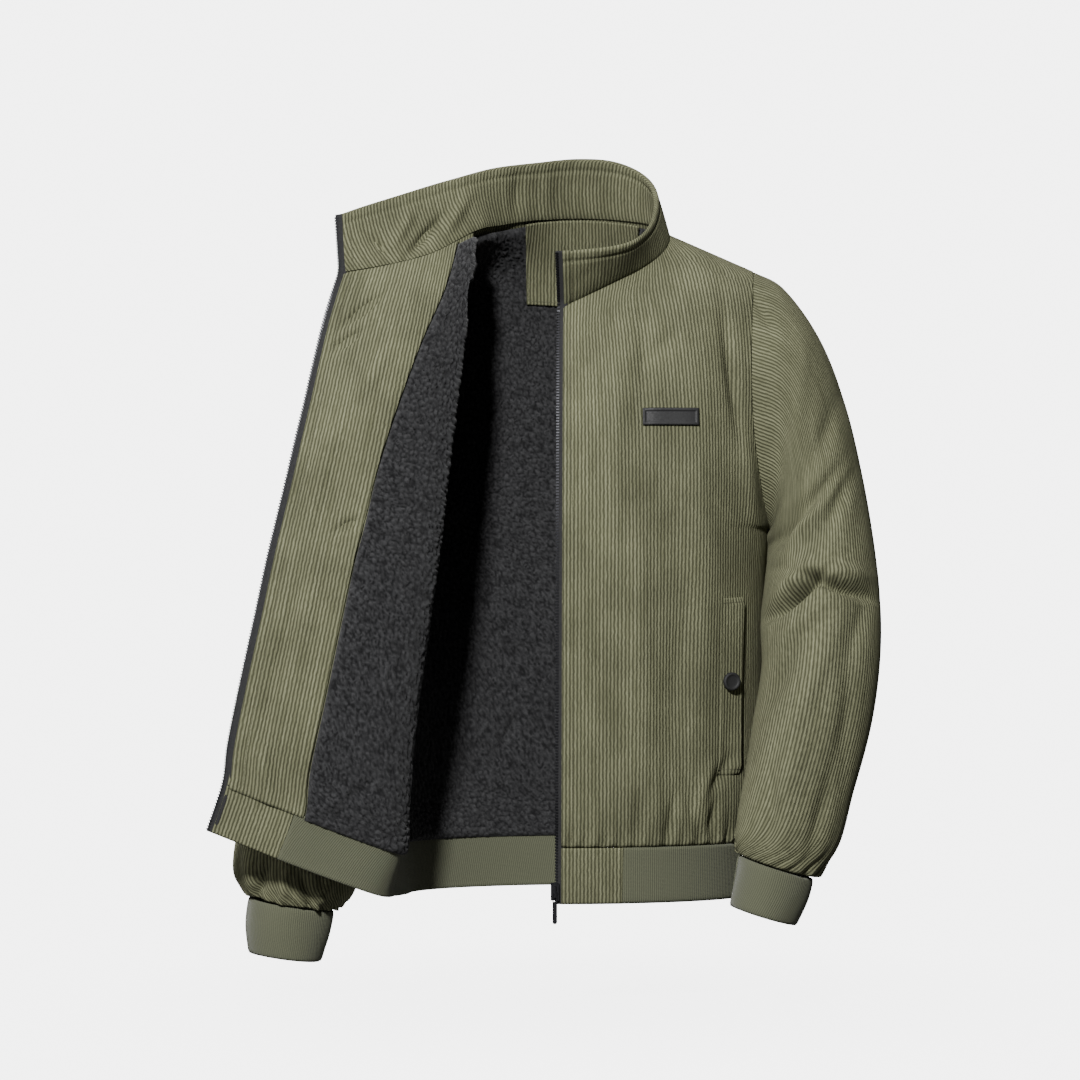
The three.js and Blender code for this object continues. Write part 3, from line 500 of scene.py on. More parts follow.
class Cloth:
    """A surface read once on a fine grid, with its outward direction and its lengths along the cloth."""

    find_step: float = 0.004  # the step in u and v from which a search reads its slopes
    find_rounds: int = 4
    looks_forward: float = -0.05  # the highest Y of an outward direction on the front

    def __init__(self, surface: GridFn, nu: int, nv: int, grain: float = 0.0, wraps: bool = False) -> None:
        """Reads the surface.

        Args:
            surface: Gives the outer face on a grid of u by v, in mm.
            nu: Grid columns.
            nv: Grid rows.
            grain: The u of the line that the cords run along, from which widths are counted.
            wraps: True for a tube, whose u runs from -0.5 to 0.5.
        """
        self.wraps = wraps
        self.low = -0.5 if wraps else 0.0
        self.u, self.v = np.linspace(self.low, self.low + 1, nu), np.linspace(0, 1, nv)
        self.points = surface(self.u, self.v)
        along = np.gradient(self.points, axis=1)
        if wraps:
            along[:, 0] = along[:, -1] = (self.points[:, 1] - self.points[:, -2]) / 2
        self.normal = unit(np.cross(along, np.gradient(self.points, axis=0)))
        width = lengths(self.points, axis=1)
        at = (grain - self.low) * (nu - 1)
        i = min(int(at), nu - 2)
        self.width = width - mix(width[:, i], width[:, i + 1], at - i)[:, None]
        self.height = lengths(self.points)

    def read(self, u: np.ndarray, v: np.ndarray) -> Spot:
        """The cloth at u, v, by straight lines between grid points.

        Args:
            u: Shares of the width, across the cloth.
            v: Shares of the height, up the cloth.

        Returns:
            The places, with what the cloth is there.
        """
        x = np.clip((u - self.low) * (len(self.u) - 1), 0, len(self.u) - 1)
        y = np.clip(v * (len(self.v) - 1), 0, len(self.v) - 1)
        i = np.minimum(x.astype(int), len(self.u) - 2)
        j = np.minimum(y.astype(int), len(self.v) - 2)
        f, g = x - i, y - j

        def bilinear(a: np.ndarray) -> np.ndarray:
            """One field read at all the places."""
            fx, gy = (f[:, None], g[:, None]) if a.ndim == 3 else (f, g)
            return mix(mix(a[j, i], a[j, i + 1], fx), mix(a[j + 1, i], a[j + 1, i + 1], fx), gy)
        return Spot(u, v, *(bilinear(a) for a in (self.width, self.height, self.points, self.normal)))

    def find(self, x: float, z: float) -> tuple:
        """The u and v of the front place at this X and Z.

        Args:
            x: X in mm.
            z: Z in mm.

        Returns:
            Its u and v.
        """
        off = np.hypot(self.points[..., 0] - x, self.points[..., 2] - z)
        off = np.where(self.normal[..., 1] < self.looks_forward, off, np.inf)
        j, i = np.unravel_index(np.argmin(off), off.shape)
        u, v, step = self.u[i], self.v[j], self.find_step
        for _ in range(self.find_rounds):
            p = self.read(np.array([u, u + step, u]), np.array([v, v, v + step])).points[:, [0, 2]]
            jacobian = np.stack([p[1] - p[0], p[2] - p[0]], axis=1) / step
            du, dv = np.linalg.solve(jacobian, np.array([x, z]) - p[0])
            u, v = u + du, v + dv
        return float(u), float(v)


@dataclass(frozen=True)
class Crease:
    """A soft trough or ridge pressed into cloth, placed on a plane of two axes."""

    x: float
    y: float
    angle: float  # degrees from the first axis
    width: float  # half of it, across
    length: float  # half of it, along
    depth: float  # mm, below 0 for a trough

    def press(self, x: np.ndarray, y: np.ndarray) -> np.ndarray:
        """How far the crease moves the cloth at x, y.

        Args:
            x: Places on the first axis.
            y: Places on the second axis.

        Returns:
            A distance in mm for each place.
        """
        c, s = math.cos(math.radians(self.angle)), math.sin(math.radians(self.angle))
        along = (x - self.x) * c + (y - self.y) * s
        across = (y - self.y) * c - (x - self.x) * s
        return self.depth * np.exp(-(across / self.width) ** 2 - (along / self.length) ** 2)


@dataclass(frozen=True)
class Gather:
    """Ripples where cloth is drawn into a seam, deepest at the seam and gone further off."""

    at: float  # the seam's v
    run: float  # mm to a unit of v, below 0 where the cloth lies below the seam
    pitch: float  # mm from ripple to ripple
    depth: float  # mm
    reach: float  # mm in which the ripples fade
    roll: float = 0.0  # mm by which the cloth turns in at the seam
    seed: float = 0.0

    def press(self, spot: Spot) -> np.ndarray:
        """How far the ripples move the cloth. They wander and change size along the seam.

        Args:
            spot: The places.

        Returns:
            A distance in mm for each place.
        """
        off = (spot.v - self.at) * self.run
        fade = np.exp(-np.maximum(off, 0) / self.reach) * np.clip(off / 6, 0, 1)
        x = spot.width
        wander = 1.4 * np.sin(x / 41.0 + self.seed) + 0.9 * np.sin(x / 17.0 + 2 * self.seed)
        uneven = 0.65 + 0.35 * np.sin(x / 29.0 + 3 * self.seed)
        waves = np.sin(2 * np.pi * x / self.pitch + wander) + 0.3 * np.sin(x / 2.6 + self.seed)
        return self.depth * uneven * fade * waves - self.roll * np.exp(-np.maximum(off, 0) / 3.5)


def towards_viewer(creases: Sequence[Crease], spot: Spot, both: bool = False) -> np.ndarray:
    """What creases placed by X and Z do to cloth that is seen from the front.

    Args:
        creases: The creases, raised towards the front where depth is positive.
        spot: The places.
        both: True for cloth whose inside is seen.

    Returns:
        A lift in mm for each place.
    """
    weight = -spot.normals[:, 1] if both else np.clip(-spot.normals[:, 1] * 1.3, 0, 1)
    total = np.zeros_like(spot.u)
    for crease in creases:
        total += crease.press(spot.points[:, 0], spot.points[:, 2])
    return total * weight


def curls(x: np.ndarray, y: np.ndarray, cell: float, seed: int) -> np.ndarray:
    """Height of curly pile, 0 in the crevices to 1 on the curls.

    Args:
        x: Widths in mm.
        y: Heights in mm.
        cell: Spacing of the curls in mm.
        seed: Fixes the pattern.

    Returns:
        One height for each place.
    """
    # The cells are bent first, so that the curls are crooked; large odd factors scatter their centres.
    x, y = x + 1.7 * np.sin(y / 3.3 + np.sin(x / 7.0)), y + 1.5 * np.sin(x / 3.9 + seed)
    gx, gy = np.floor(x / cell).astype(int), np.floor(y / cell).astype(int)
    nearest = np.full(x.shape, 9.0)
    second = np.full(x.shape, 9.0)
    for di in (-1, 0, 1):
        for dj in (-1, 0, 1):
            i, j = gx + di, gy + dj
            hash_a = np.sin(i * 127.1 + j * 311.7 + seed) * 43758.5453
            hash_b = np.sin(i * 269.5 + j * 183.3 + seed) * 43758.5453
            px, py = (i + hash_a - np.floor(hash_a)) * cell, (j + hash_b - np.floor(hash_b)) * cell
            d = np.hypot(x - px, y - py) / cell
            second = np.minimum(second, np.maximum(nearest, d))
            nearest = np.minimum(nearest, d)
    return np.clip((second - nearest) * 2.2, 0, 1) ** 0.55


class Finish(Enum):
    """What pieces are made of. The first five are the record's slots."""

    CORDUROY = "corduroy_olive"
    KNIT = "rib_knit_olive"
    PILE = "pile_charcoal"
    BLACK = "black_plastic"
    METAL = "zip_metal"
    THREAD = "thread"
    TAPE = "tape"


def linear(hex_value: int) -> tuple:
    """An sRGB hex colour as linear RGBA."""
    channels = [((hex_value >> shift) & 255) / 255 for shift in (16, 8, 0)]
    return tuple(c / 12.92 if c <= 0.04045 else ((c + 0.055) / 1.055) ** 2.4 for c in channels) + (1.0,)


def feed(tree: bpy.types.NodeTree, node: bpy.types.Node, **inputs: object) -> None:
    """Sets or links a node's inputs.

    Args:
        tree: The material's tree.
        node: The node.
        **inputs: Socket names, with _ for a space or a number after in, each a value, a socket, or a node
            whose first output is meant.
    """
    for name, value in inputs.items():
        key = int(name[2:]) if name.startswith("in") and name[2:].isdigit() else name.replace("_", " ")
        if isinstance(value, bpy.types.Node):
            value = value.outputs[0]
        if isinstance(value, bpy.types.NodeSocket):
            tree.links.new(value, node.inputs[key])
        else:
            node.inputs[key].default_value = value


def add_node(tree: bpy.types.NodeTree, kind: str, settings: Optional[dict] = None,
             **inputs: object) -> bpy.types.Node:
    """Adds a node with its settings and links.

    Args:
        tree: The material's tree.
        kind: The node's type name after ShaderNode.
        settings: Attributes to set on the node.
        **inputs: What feed takes.

    Returns:
        The node.
    """
    made = tree.nodes.new(f"ShaderNode{kind}")
    for name, value in (settings or {}).items():
        setattr(made, name, value)
    feed(tree, made, **inputs)
    return made


def new_material(name: str) -> tuple:
    """A material with an empty tree, its shader and its tree.

    Args:
        name: The material's name, for what the real one is.

    Returns:
        The material, its shader and its tree.
    """
    material = bpy.data.materials.new(name)
    material.use_nodes = True
    tree = material.node_tree
    tree.nodes.clear()
    shader = add_node(tree, "BsdfPrincipled")
    add_node(tree, "OutputMaterial", in0=shader)
    return material, shader, tree


TIMES, TIMES_PLUS = {"operation": "MULTIPLY"}, {"operation": "MULTIPLY_ADD"}
COSINE, COLOURS = {"operation": "COSINE"}, {"data_type": "RGBA"}
SMOOTH = {"interpolation_type": "SMOOTHSTEP"}
CLOTH_MAP = {"uv_map": "cloth"}


@dataclass(frozen=True)
class CorduroyFinish:
    """Cotton corduroy, woven and cut pile: matt cords with a soft sheen, and painted shade that darkens the
    valleys between them.

    Noise scales are in patterns to a metre of cloth; a tuple's first number counts across the cords and its
    second along them.
    """

    ridge: int = 0x565742
    worn: int = 0x71725A
    # Painted shade: the colour of the shaded valleys between the cords.
    valley_shade: int = 0x3B3C2C
    sheen: int = 0xC9C7A6
    pitch: float = WALE
    lean: float = 170.0  # cords wander every 6 mm or so, as the cut pile leans
    wander: float = 0.0018  # which moves them by about 0.3 mm
    dye: float = 0.77  # every cord takes the dye a little differently
    dye_along: float = 17.0  # and changes slowly over some 60 mm of its length
    streaks: tuple = (430.0, 130.0, 1.0)  # broken pile, 2 mm across and 8 mm long, gives the mottled nap
    tufts: tuple = (1500.0, 900.0, 1.0)  # tufts under 1 mm roughen it
    shading: float = 16.0  # broad light and dark places, some 60 mm across
    relief: float = 0.0009  # m from valley to ridge

    def build(self) -> bpy.types.Material:
        """The material, whose cords follow the cloth's own UV map in metres.

        Returns:
            The material.
        """
        material, shader, tree = new_material("cotton_corduroy_brushed")
        uv = add_node(tree, "UVMap", CLOTH_MAP)
        axes = add_node(tree, "SeparateXYZ", in0=uv)
        lean = add_node(tree, "TexNoise", Vector=uv, Scale=self.lean, Detail=2.0)
        across = add_node(tree, "Math", TIMES_PLUS, in0=lean, in1=self.wander, in2=axes)
        count = add_node(tree, "Math", {"operation": "DIVIDE"}, in0=across, in1=self.pitch * MM)
        turns = add_node(tree, "Math", TIMES, in0=count, in1=2 * math.pi)
        wave = add_node(tree, "Math", COSINE, in0=turns)
        cord = add_node(tree, "Math", {"operation": "ROUND"}, in0=count)
        slow = add_node(tree, "Math", TIMES, in0=axes.outputs[1], in1=self.dye_along)
        cord_at = add_node(tree, "CombineXYZ", X=cord, Y=slow)
        dye = add_node(tree, "TexNoise", Vector=cord_at, Scale=self.dye, Detail=2.0)
        streak_at = add_node(tree, "VectorMath", TIMES, in0=uv, in1=self.streaks)
        streak = add_node(tree, "TexNoise", Vector=streak_at, Scale=1.0, Detail=3.0, Roughness=0.65)
        tuft_at = add_node(tree, "VectorMath", TIMES, in0=uv, in1=self.tufts)
        tuft = add_node(tree, "TexNoise", Vector=tuft_at, Scale=1.0, Detail=2.0)
        broad = add_node(tree, "TexNoise", Vector=uv, Scale=self.shading, Detail=4.0)
        # Streaks eat into the ridges, so the cords' edges are ragged.
        low_edge = add_node(tree, "Math", TIMES_PLUS, in0=streak, in1=1.8, in2=-1.95)
        ridge = add_node(tree, "MapRange", SMOOTH, in0=wave, in1=low_edge, in2=0.75)
        wear = add_node(tree, "Math", TIMES_PLUS, in0=dye, in1=0.9, in2=streak)
        worn = add_node(tree, "MapRange", in0=wear, in1=0.66, in2=1.25)
        top = add_node(tree, "Mix", COLOURS, in0=worn, in6=linear(self.ridge), in7=linear(self.worn))
        # Painted shade: the colour falls to the valley shade where the cords' height is low.
        body = add_node(tree, "Mix", COLOURS, in0=ridge, in6=linear(self.valley_shade), in7=top.outputs[2])
        shade = add_node(tree, "MapRange", in0=broad, in1=0.3, in2=0.7, in3=0.8, in4=1.16)
        tint = add_node(tree, "VectorMath", {"operation": "SCALE"}, in0=body.outputs[2], Scale=shade)
        height = add_node(tree, "Math", TIMES_PLUS, in0=tuft, in1=0.8, in2=ridge)
        bump = add_node(tree, "Bump", Strength=0.75, Distance=self.relief, Height=height)
        feed(tree, shader, Base_Color=tint, Normal=bump, Roughness=0.92, Specular_IOR_Level=0.12,
             Sheen_Weight=0.06, Sheen_Roughness=0.45, Sheen_Tint=linear(self.sheen))
        return material


@dataclass(frozen=True)
class KnitFinish:
    """Cotton and elastane rib knit: fine matt ribs that read as an even heather, with painted shade in the gaps
    between ribs.
    """

    rib: int = 0x505241
    # Painted shade: the colour of the shaded gaps between ribs, which also gives the heather its darker flecks.
    gap_shade_and_heather: int = 0x424437
    pitch: float = 2.2  # mm for two fine ribs drawn as one, as single ribs are too fine to show
    course: float = 1.3  # mm for one row of loops
    stitch: float = 900.0  # noise to a metre, about 1 mm
    relief: float = 0.0006  # m

    def build(self) -> bpy.types.Material:
        """The material, whose ribs follow the cloth's own UV map in metres.

        Returns:
            The material.
        """
        material, shader, tree = new_material("rib_knit_cotton")
        uv = add_node(tree, "UVMap", CLOTH_MAP)
        axes = add_node(tree, "SeparateXYZ", in0=uv)
        turns = add_node(tree, "Math", TIMES, in0=axes, in1=2 * math.pi / (self.pitch * MM))
        wave = add_node(tree, "Math", COSINE, in0=turns)
        rows = add_node(tree, "Math", TIMES, in0=axes.outputs[1], in1=2 * math.pi / (self.course * MM))
        loops = add_node(tree, "Math", {"operation": "SINE"}, in0=rows)
        stitch_at = add_node(tree, "VectorMath", {"operation": "SCALE"}, in0=uv, Scale=self.stitch)
        stitch = add_node(tree, "TexNoise", Vector=stitch_at, Scale=1.0, Detail=2.0)
        ribs = add_node(tree, "Math", TIMES_PLUS, in0=loops, in1=0.25, in2=wave)
        height = add_node(tree, "Math", TIMES_PLUS, in0=stitch, in1=1.6, in2=ribs)
        # The colour darkens where the height is low: painted shade in the gaps between ribs, and darker flecks
        # of heather where the stitch noise is low.
        share = add_node(tree, "MapRange", in0=height, in1=-0.6, in2=1.9)
        colour = add_node(tree, "Mix", COLOURS, in0=share, in6=linear(self.gap_shade_and_heather), in7=linear(self.rib))
        bump = add_node(tree, "Bump", Strength=0.45, Distance=self.relief, Height=height)
        feed(tree, shader, Base_Color=colour.outputs[2], Normal=bump, Roughness=0.95, Specular_IOR_Level=0.15,
             Sheen_Weight=0.1)
        return material


@dataclass(frozen=True)
class PileFinish:
    """Curly polyester pile: soft charcoal tufts, with painted shade that makes the crevices between them near
    black.
    """

    curl: int = 0x333334
    # Painted shade: the near black of the shaded crevices between curls.
    crevice_shade: int = 0x101011
    fibre: float = 900.0  # noise to a metre, about 1 mm
    swirl: float = 190.0  # about 5 mm
    relief: float = 0.0012  # m

    def build(self) -> bpy.types.Material:
        """The material, with painted shade where the mesh's own curl attribute is low, in the crevices between
        curls.

        Returns:
            The material.
        """
        material, shader, tree = new_material("curly_pile_fleece")
        depth = add_node(tree, "Attribute", {"attribute_name": "curl"})
        uv = add_node(tree, "UVMap", CLOTH_MAP)
        fibre = add_node(tree, "TexNoise", Vector=uv, Scale=self.fibre, Detail=4.0, Roughness=0.7)
        swirl = add_node(tree, "TexNoise", Vector=uv, Scale=self.swirl, Detail=3.0, Distortion=1.6)
        # Painted shade: the colour falls to the crevice shade where the curls' height, broken up by the swirl
        # noise, is low.
        lift = add_node(tree, "Math", TIMES, in0=depth.outputs["Fac"], in1=swirl)
        share = add_node(tree, "MapRange", in0=lift, in1=0.12, in2=0.62)
        colour = add_node(tree, "Mix", COLOURS, in0=share, in6=linear(self.crevice_shade), in7=linear(self.curl))
        rough = add_node(tree, "Math", {"operation": "ADD"}, in0=fibre, in1=swirl)
        bump = add_node(tree, "Bump", Strength=0.8, Distance=self.relief, Height=rough)
        feed(tree, shader, Base_Color=colour.outputs[2], Normal=bump, Roughness=1.0, Specular_IOR_Level=0.1,
             Sheen_Weight=0.12)
        return material


@dataclass(frozen=True)
class HardFinish:
    """Hard trim: moulded plastic or painted metal, with fine scuffs that break its gloss."""

    name: str
    colour: int
    roughness: float
    metallic: float
    scuffs: float = 700.0  # noise to a metre, about 1.4 mm
    relief: float = 0.0001  # m

    def build(self) -> bpy.types.Material:
        """The material, on Object coordinates.

        Returns:
            The material.
        """
        material, shader, tree = new_material(self.name)
        place = add_node(tree, "TexCoord")
        scuff = add_node(tree, "TexNoise", Vector=place.outputs["Object"], Scale=self.scuffs, Detail=4.0)
        gloss = add_node(tree, "MapRange", in0=scuff, in1=0.3, in2=0.7, in3=self.roughness - 0.07,
                         in4=self.roughness + 0.12)
        bump = add_node(tree, "Bump", Strength=0.12, Distance=self.relief, Height=scuff)
        feed(tree, shader, Roughness=gloss, Normal=bump, Base_Color=linear(self.colour),
             Metallic=self.metallic)
        return material


@dataclass
class Wardrobe:
    """Every finish, built once, and the calls that dress a piece in one."""

    materials: dict = field(default_factory=dict)

    def build(self) -> None:
        """Builds the materials."""
        self.materials = {
            Finish.CORDUROY: CorduroyFinish().build(),
            Finish.KNIT: KnitFinish().build(),
            Finish.PILE: PileFinish().build(),
            Finish.BLACK: HardFinish("abs_moulded_satin", 0x060607, 0.68, 0.0).build(),
            Finish.METAL: HardFinish("zinc_painted_gunmetal", 0x1E1E21, 0.38, 0.75).build(),
            Finish.THREAD: HardFinish("polyester_thread_spun", 0x41412F, 0.85, 0.0).build(),
            Finish.TAPE: HardFinish("polyester_tape_woven", 0x161617, 0.9, 0.0).build(),
        }

    def dress(self, piece: bpy.types.Object, finish: Finish, nodes: Sequence[str] = (),
              body: str = BODY_NAME) -> bpy.types.Object:
        """Gives a piece its finish and its body, and lets it stand for frame nodes.

        Args:
            piece: The finished object.
            finish: What it is made of.
            nodes: The nodes that it replaces.
            body: The body it rides on.

        Returns:
            The piece.
        """
        piece.data.materials.clear()
        piece.data.materials.append(self.materials[finish])
        if nodes:
            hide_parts(*nodes)
        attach(piece, body)
        LOG.info("%s: %d vertices", piece.name, len(piece.data.vertices))
        return piece


@dataclass
class SheetMaker:
    """Makes cloth pieces on a Cloth: an even grid, placed by the surface and its creases."""

    wardrobe: Wardrobe

    def make(self, name: str, cloth: Cloth, cells: tuple, u_range: Callable, v_range: Callable,
             lift: Callable, thickness: float = 0.0, curl: Optional[Callable] = None,
             inside: bool = False) -> bpy.types.Object:
        """One sheet of cloth.

        Args:
            name: The piece's name.
            cloth: The surface it follows.
            cells: Columns and rows of its grid.
            u_range: Lowest and highest u for a row's share of the height.
            v_range: Lowest and highest v for a column's share of the width.
            lift: Distance from the surface in mm, from a Spot.
            thickness: Thickness in mm that Solidify adds inwards, 0 for none.
            curl: Height of pile, from a Spot, which the pile finish uses for painted shade in the crevices.
            inside: True where the side towards the wearer is the one that shows.

        Returns:
            The object.
        """
        bm = bmesh.new()
        bmesh.ops.create_grid(bm, x_segments=cells[0], y_segments=cells[1], size=0.5)
        mesh = bpy.data.meshes.new(name)
        bm.to_mesh(mesh)
        bm.free()
        count = len(mesh.vertices)
        flat = np.empty(count * 3)
        mesh.vertices.foreach_get("co", flat)
        flat = flat.reshape(-1, 3) + 0.5
        p, q = flat[:, 0], flat[:, 1]
        v = mix(*v_range(p), q)
        u = mix(*u_range(v), p)
        spot = cloth.read(u, v)
        points = spot.points + spot.normals * lift(spot)[:, None]
        mesh.vertices.foreach_set("co", (points * MM).ravel())
        loops = np.empty(len(mesh.loops), dtype=np.int32)
        mesh.loops.foreach_get("vertex_index", loops)
        layer = mesh.uv_layers.new(name="cloth")
        layer.data.foreach_set("uv", (np.stack([spot.width, spot.height], axis=-1)[loops] * MM).ravel())
        # The pile's height, which the pile finish turns into painted shade in the crevices.
        if curl is not None:
            attribute = mesh.attributes.new("curl", "FLOAT", "POINT")
            attribute.data.foreach_set("value", curl(spot))
        mesh.update()
        if cloth.wraps:
            self.close_tube(mesh)
        if inside:
            mesh.flip_normals()
        mesh.polygons.foreach_set("use_smooth", [True] * len(mesh.polygons))
        piece = bpy.data.objects.new(name, mesh)
        bpy.context.scene.collection.objects.link(piece)
        if thickness:
            solid = piece.modifiers.new("thickness", "SOLIDIFY")
            solid.thickness = thickness * MM
            solid.offset = -1
        return piece

    @staticmethod
    def close_tube(mesh: bpy.types.Mesh) -> None:
        """Joins a tube's two edges along its seam.

        Args:
            mesh: The tube's mesh, whose first and last columns meet.
        """
        bm = bmesh.new()
        bm.from_mesh(mesh)
        bmesh.ops.remove_doubles(bm, verts=bm.verts, dist=1e-6)
        bm.to_mesh(mesh)
        bm.free()


def constant(low: float, high: float) -> Callable:
    """A range that doesn't depend on where it is asked."""
    return lambda _: (low, high)


def flat_lift(distance: float) -> Callable:
    """A lift that is the same everywhere."""
    return lambda spot: np.full(spot.u.shape, distance)


def groove(distance: np.ndarray, at: float, width: float = 1.3, depth: float = 0.9) -> np.ndarray:
    """The furrow that a row of stitches pulls in cloth, at a distance from an edge."""
    return -depth * np.exp(-((distance - at) / width) ** 2)


def turned(distance: np.ndarray, depth: float, run: float) -> np.ndarray:
    """How far cloth curls in at a turned edge or seam, at a distance from it."""
    return -depth * np.exp(-distance / run)


def joined_cubes(name: str, centres: np.ndarray, axes: np.ndarray, size: Sequence[float]) -> bpy.types.Object:
    """Many small blocks in one mesh, such as stitches or zip teeth.

    Args:
        name: The piece's name.
        centres: One place in mm for each block.
        axes: Three unit directions for each block.
        size: A block's length along each of them, in mm.

    Returns:
        The object.
    """
    bm = bmesh.new()
    bmesh.ops.create_cube(bm, size=1.0)
    corners = np.array([v.co[:] for v in bm.verts]) * np.array(size)
    faces = np.array([[v.index for v in f.verts] for f in bm.faces])
    bm.free()
    points = centres[:, None] + np.einsum("ck,nkx->ncx", corners, axes)
    count = len(centres)
    mesh = bpy.data.meshes.new(name)
    every = (faces[None] + len(corners) * np.arange(count)[:, None, None]).reshape(-1, 4)
    mesh.from_pydata((points.reshape(-1, 3) * MM).tolist(), [], every.tolist())
    mesh.update()
    piece = bpy.data.objects.new(name, mesh)
    bpy.context.scene.collection.objects.link(piece)
    return piece


def frames_along(points: np.ndarray, normals: np.ndarray) -> np.ndarray:
    """Directions along a line, out of the cloth and across both, at each of its points."""
    along = unit(np.gradient(points, axis=0))
    return np.stack([along, normals, unit(np.cross(along, normals))], axis=1)


@dataclass
class StitchLine:
    """A row of lockstitches on cloth."""

    cloth: Cloth
    start: tuple
    end: tuple
    lift: Callable
    length: float = 2.3  # mm of one stitch
    pitch: float = 3.1  # mm from stitch to stitch
    thread: float = 0.55  # mm thick

    def along(self, t: np.ndarray) -> Spot:
        """The cloth at shares of the way from start to end."""
        return self.cloth.read(mix(self.start[0], self.end[0], t), mix(self.start[1], self.end[1], t))

    def place(self) -> tuple:
        """Centres and directions of the stitches.

        Returns:
            A centre and three directions for each stitch.
        """
        fine = np.linspace(0, 1, 600)
        run = lengths(self.along(fine).points)
        count = max(int(run[-1] / self.pitch), 2)
        spot = self.along(np.interp(np.linspace(self.pitch / 2, run[-1] - self.pitch / 2, count), run, fine))
        centres = spot.points + spot.normals * self.lift(spot)[:, None]
        return centres, frames_along(centres, spot.normals)


def sew(name: str, lines: Sequence[StitchLine], wardrobe: Wardrobe) -> bpy.types.Object:
    """Several rows of stitches as one piece.

    Args:
        name: The piece's name.
        lines: The rows.
        wardrobe: The finishes.

    Returns:
        The piece.
    """
    centres, axes = zip(*(line.place() for line in lines))
    size = (lines[0].length, lines[0].thread, lines[0].thread)
    stitches = joined_cubes(name, np.concatenate(centres), np.concatenate(axes), size)
    return wardrobe.dress(stitches, Finish.THREAD)


HEM_V = 1 / LAST_ROW  # the v of the seam between hem and panel
TOP_V = 1 - SEAM_CLEAR
SEAM_U = 0.0007  # share of a panel's width left free at a seam
BODY_RUN = 640.0  # mm of cloth from a panel's hem to its top, about
SLEEVE_RUN = 660.0  # mm of cloth from a sleeve's head to its cuff, about
HEM_RISE, CUFF_RISE, COLLAR_RISE = 55.0, 50.0, 50.0  # mm of cloth from edge to edge of each
SHELL_UNDER = -2.0 - 2.2  # where the lining starts, under the shell's outer face
FACING_UNDER = -2.0 - 1.05
PATCH_UNDER = SHELL_UNDER - 5.6  # the neck patch lies on the pile
# Pile in mm: its gap to the shell, its height in the crevices, what a curl adds and how wide its border rounds.
PILE_GAP, PILE_LOW, PILE_CURL, PILE_BORDER = 0.4, 2.7, 2.6, 6.0
LINING_TOP = 0.985  # v of the linings' and the stitches' upper ends
PROUD = 0.15  # mm by which a stitch's middle lies above its cloth


def creases(*rows: tuple) -> tuple:
    """Creases from rows of x, y, angle, width, length and depth."""
    return tuple(Crease(*row) for row in rows)


LEFT_FRONT_CREASES = creases(
    (38, -200, 88, 11, 130, 4.4), (64, -130, 91, 7, 60, -4.0), (140, -533, 60, 6, 22, -4.5),
    (133, -575, 80, 4.5, 20, -5.3), (91, -577, 80, 5, 28, -4.8), (76, -567, 88, 6, 32, 2.6),
    (112, -563, 100, 7, 32, -3.4), (58, -575, 84, 7, 22, -2.9), (20, -578, 95, 8, 24, 2.1),
    (152, -140, 97, 6, 60, -7.4), (120, -300, 92, 20, 120, 6.1), (100, -430, 86, 16, 90, -5.7),
    (60, -400, 92, 13, 120, 4.4), (168, -235, 100, 8, 45, 6.1), (130, -28, -25.7, 1.7, 44, -2.3),
    (124, -548, 74, 6, 26, 2.7), (150, -500, 82, 9, 60, -2.1), (80, -110, 40, 8, 22, -3.0),
)
LEFT_SLEEVE_CREASES = creases(
    (201, -301, 55, 4.2, 21, -23.0), (219, -290, 56, 7, 28, 9.0), (208, -358, 40, 4.5, 34, -27.0),
    (206, -343, 43, 6, 26, 8.5), (256, -346, -18, 4.8, 30, -19.0), (256, -330, -12, 8, 32, 7.0),
    (224, -374, 42, 8, 34, 5.5), (190, -330, 20, 5, 18, -6.0), (235, -255, 48, 7, 40, -11.0),
    (256, -262, 60, 8, 34, -6.4), (250, -240, 46, 8, 34, 4.0), (184, -76, -60, 4.5, 18, -4.5),
    (236, -560, 75, 8, 50, -6.5), (205, -520, 80, 11, 60, 4.5), (228, -430, 70, 12, 60, 4.5),
    (262, -470, 86, 9, 70, -5.0), (244, -195, 66, 9, 46, -4.0), (216, -170, 84, 9, 60, 3.2),
    (196, -440, 62, 6, 26, -4.5), (186, -560, 86, 7, 40, -5.0), (276, -380, 70, 9, 40, -4.0),
)
RIGHT_SLEEVE_CREASES = creases(
    (-312, -640, 72, 4.5, 22, -6.0), (-268, -645, 105, 4.5, 22, -6.5), (-252, -652, 60, 5, 16, 5.0),
    (-325, -628, 95, 6, 20, 4.6), (-290, -645, 88, 5, 22, 5.0), (-285, -300, 70, 10, 40, -3.4),
    (-260, -420, 100, 12, 60, 2.8),
)
FACING_CREASES = creases(
    (-210, -75, 38, 4.5, 20, -10.2), (-225, -106, 35, 4.5, 14, -8.6), (-225, -287, 30, 5, 12, -5.8),
    (-250, -240, 74, 9, 60, 4.3), (-290, -420, 76, 8, 70, -4.3), (-305, -520, 100, 8, 30, 6.3),
    (-200, -140, 60, 7, 24, 3.9), (-262, -360, 82, 7, 40, 3.4),
)
COLLAR_CREASES = creases(
    (-151, 2, 50, 4.5, 22, -7.5), (-195, -9, -45, 5, 16, -5.9), (-120, 25, 60, 6, 22, 4.2),
    (-60, 48, 88, 6, 20, -3.6), (60, -45, 70, 6, 18, 3.2), (10, -40, 30, 7, 26, -2.9),
    (-172, 10, 62, 5, 18, 3.9), (-30, 50, 95, 6, 22, 2.9),
)
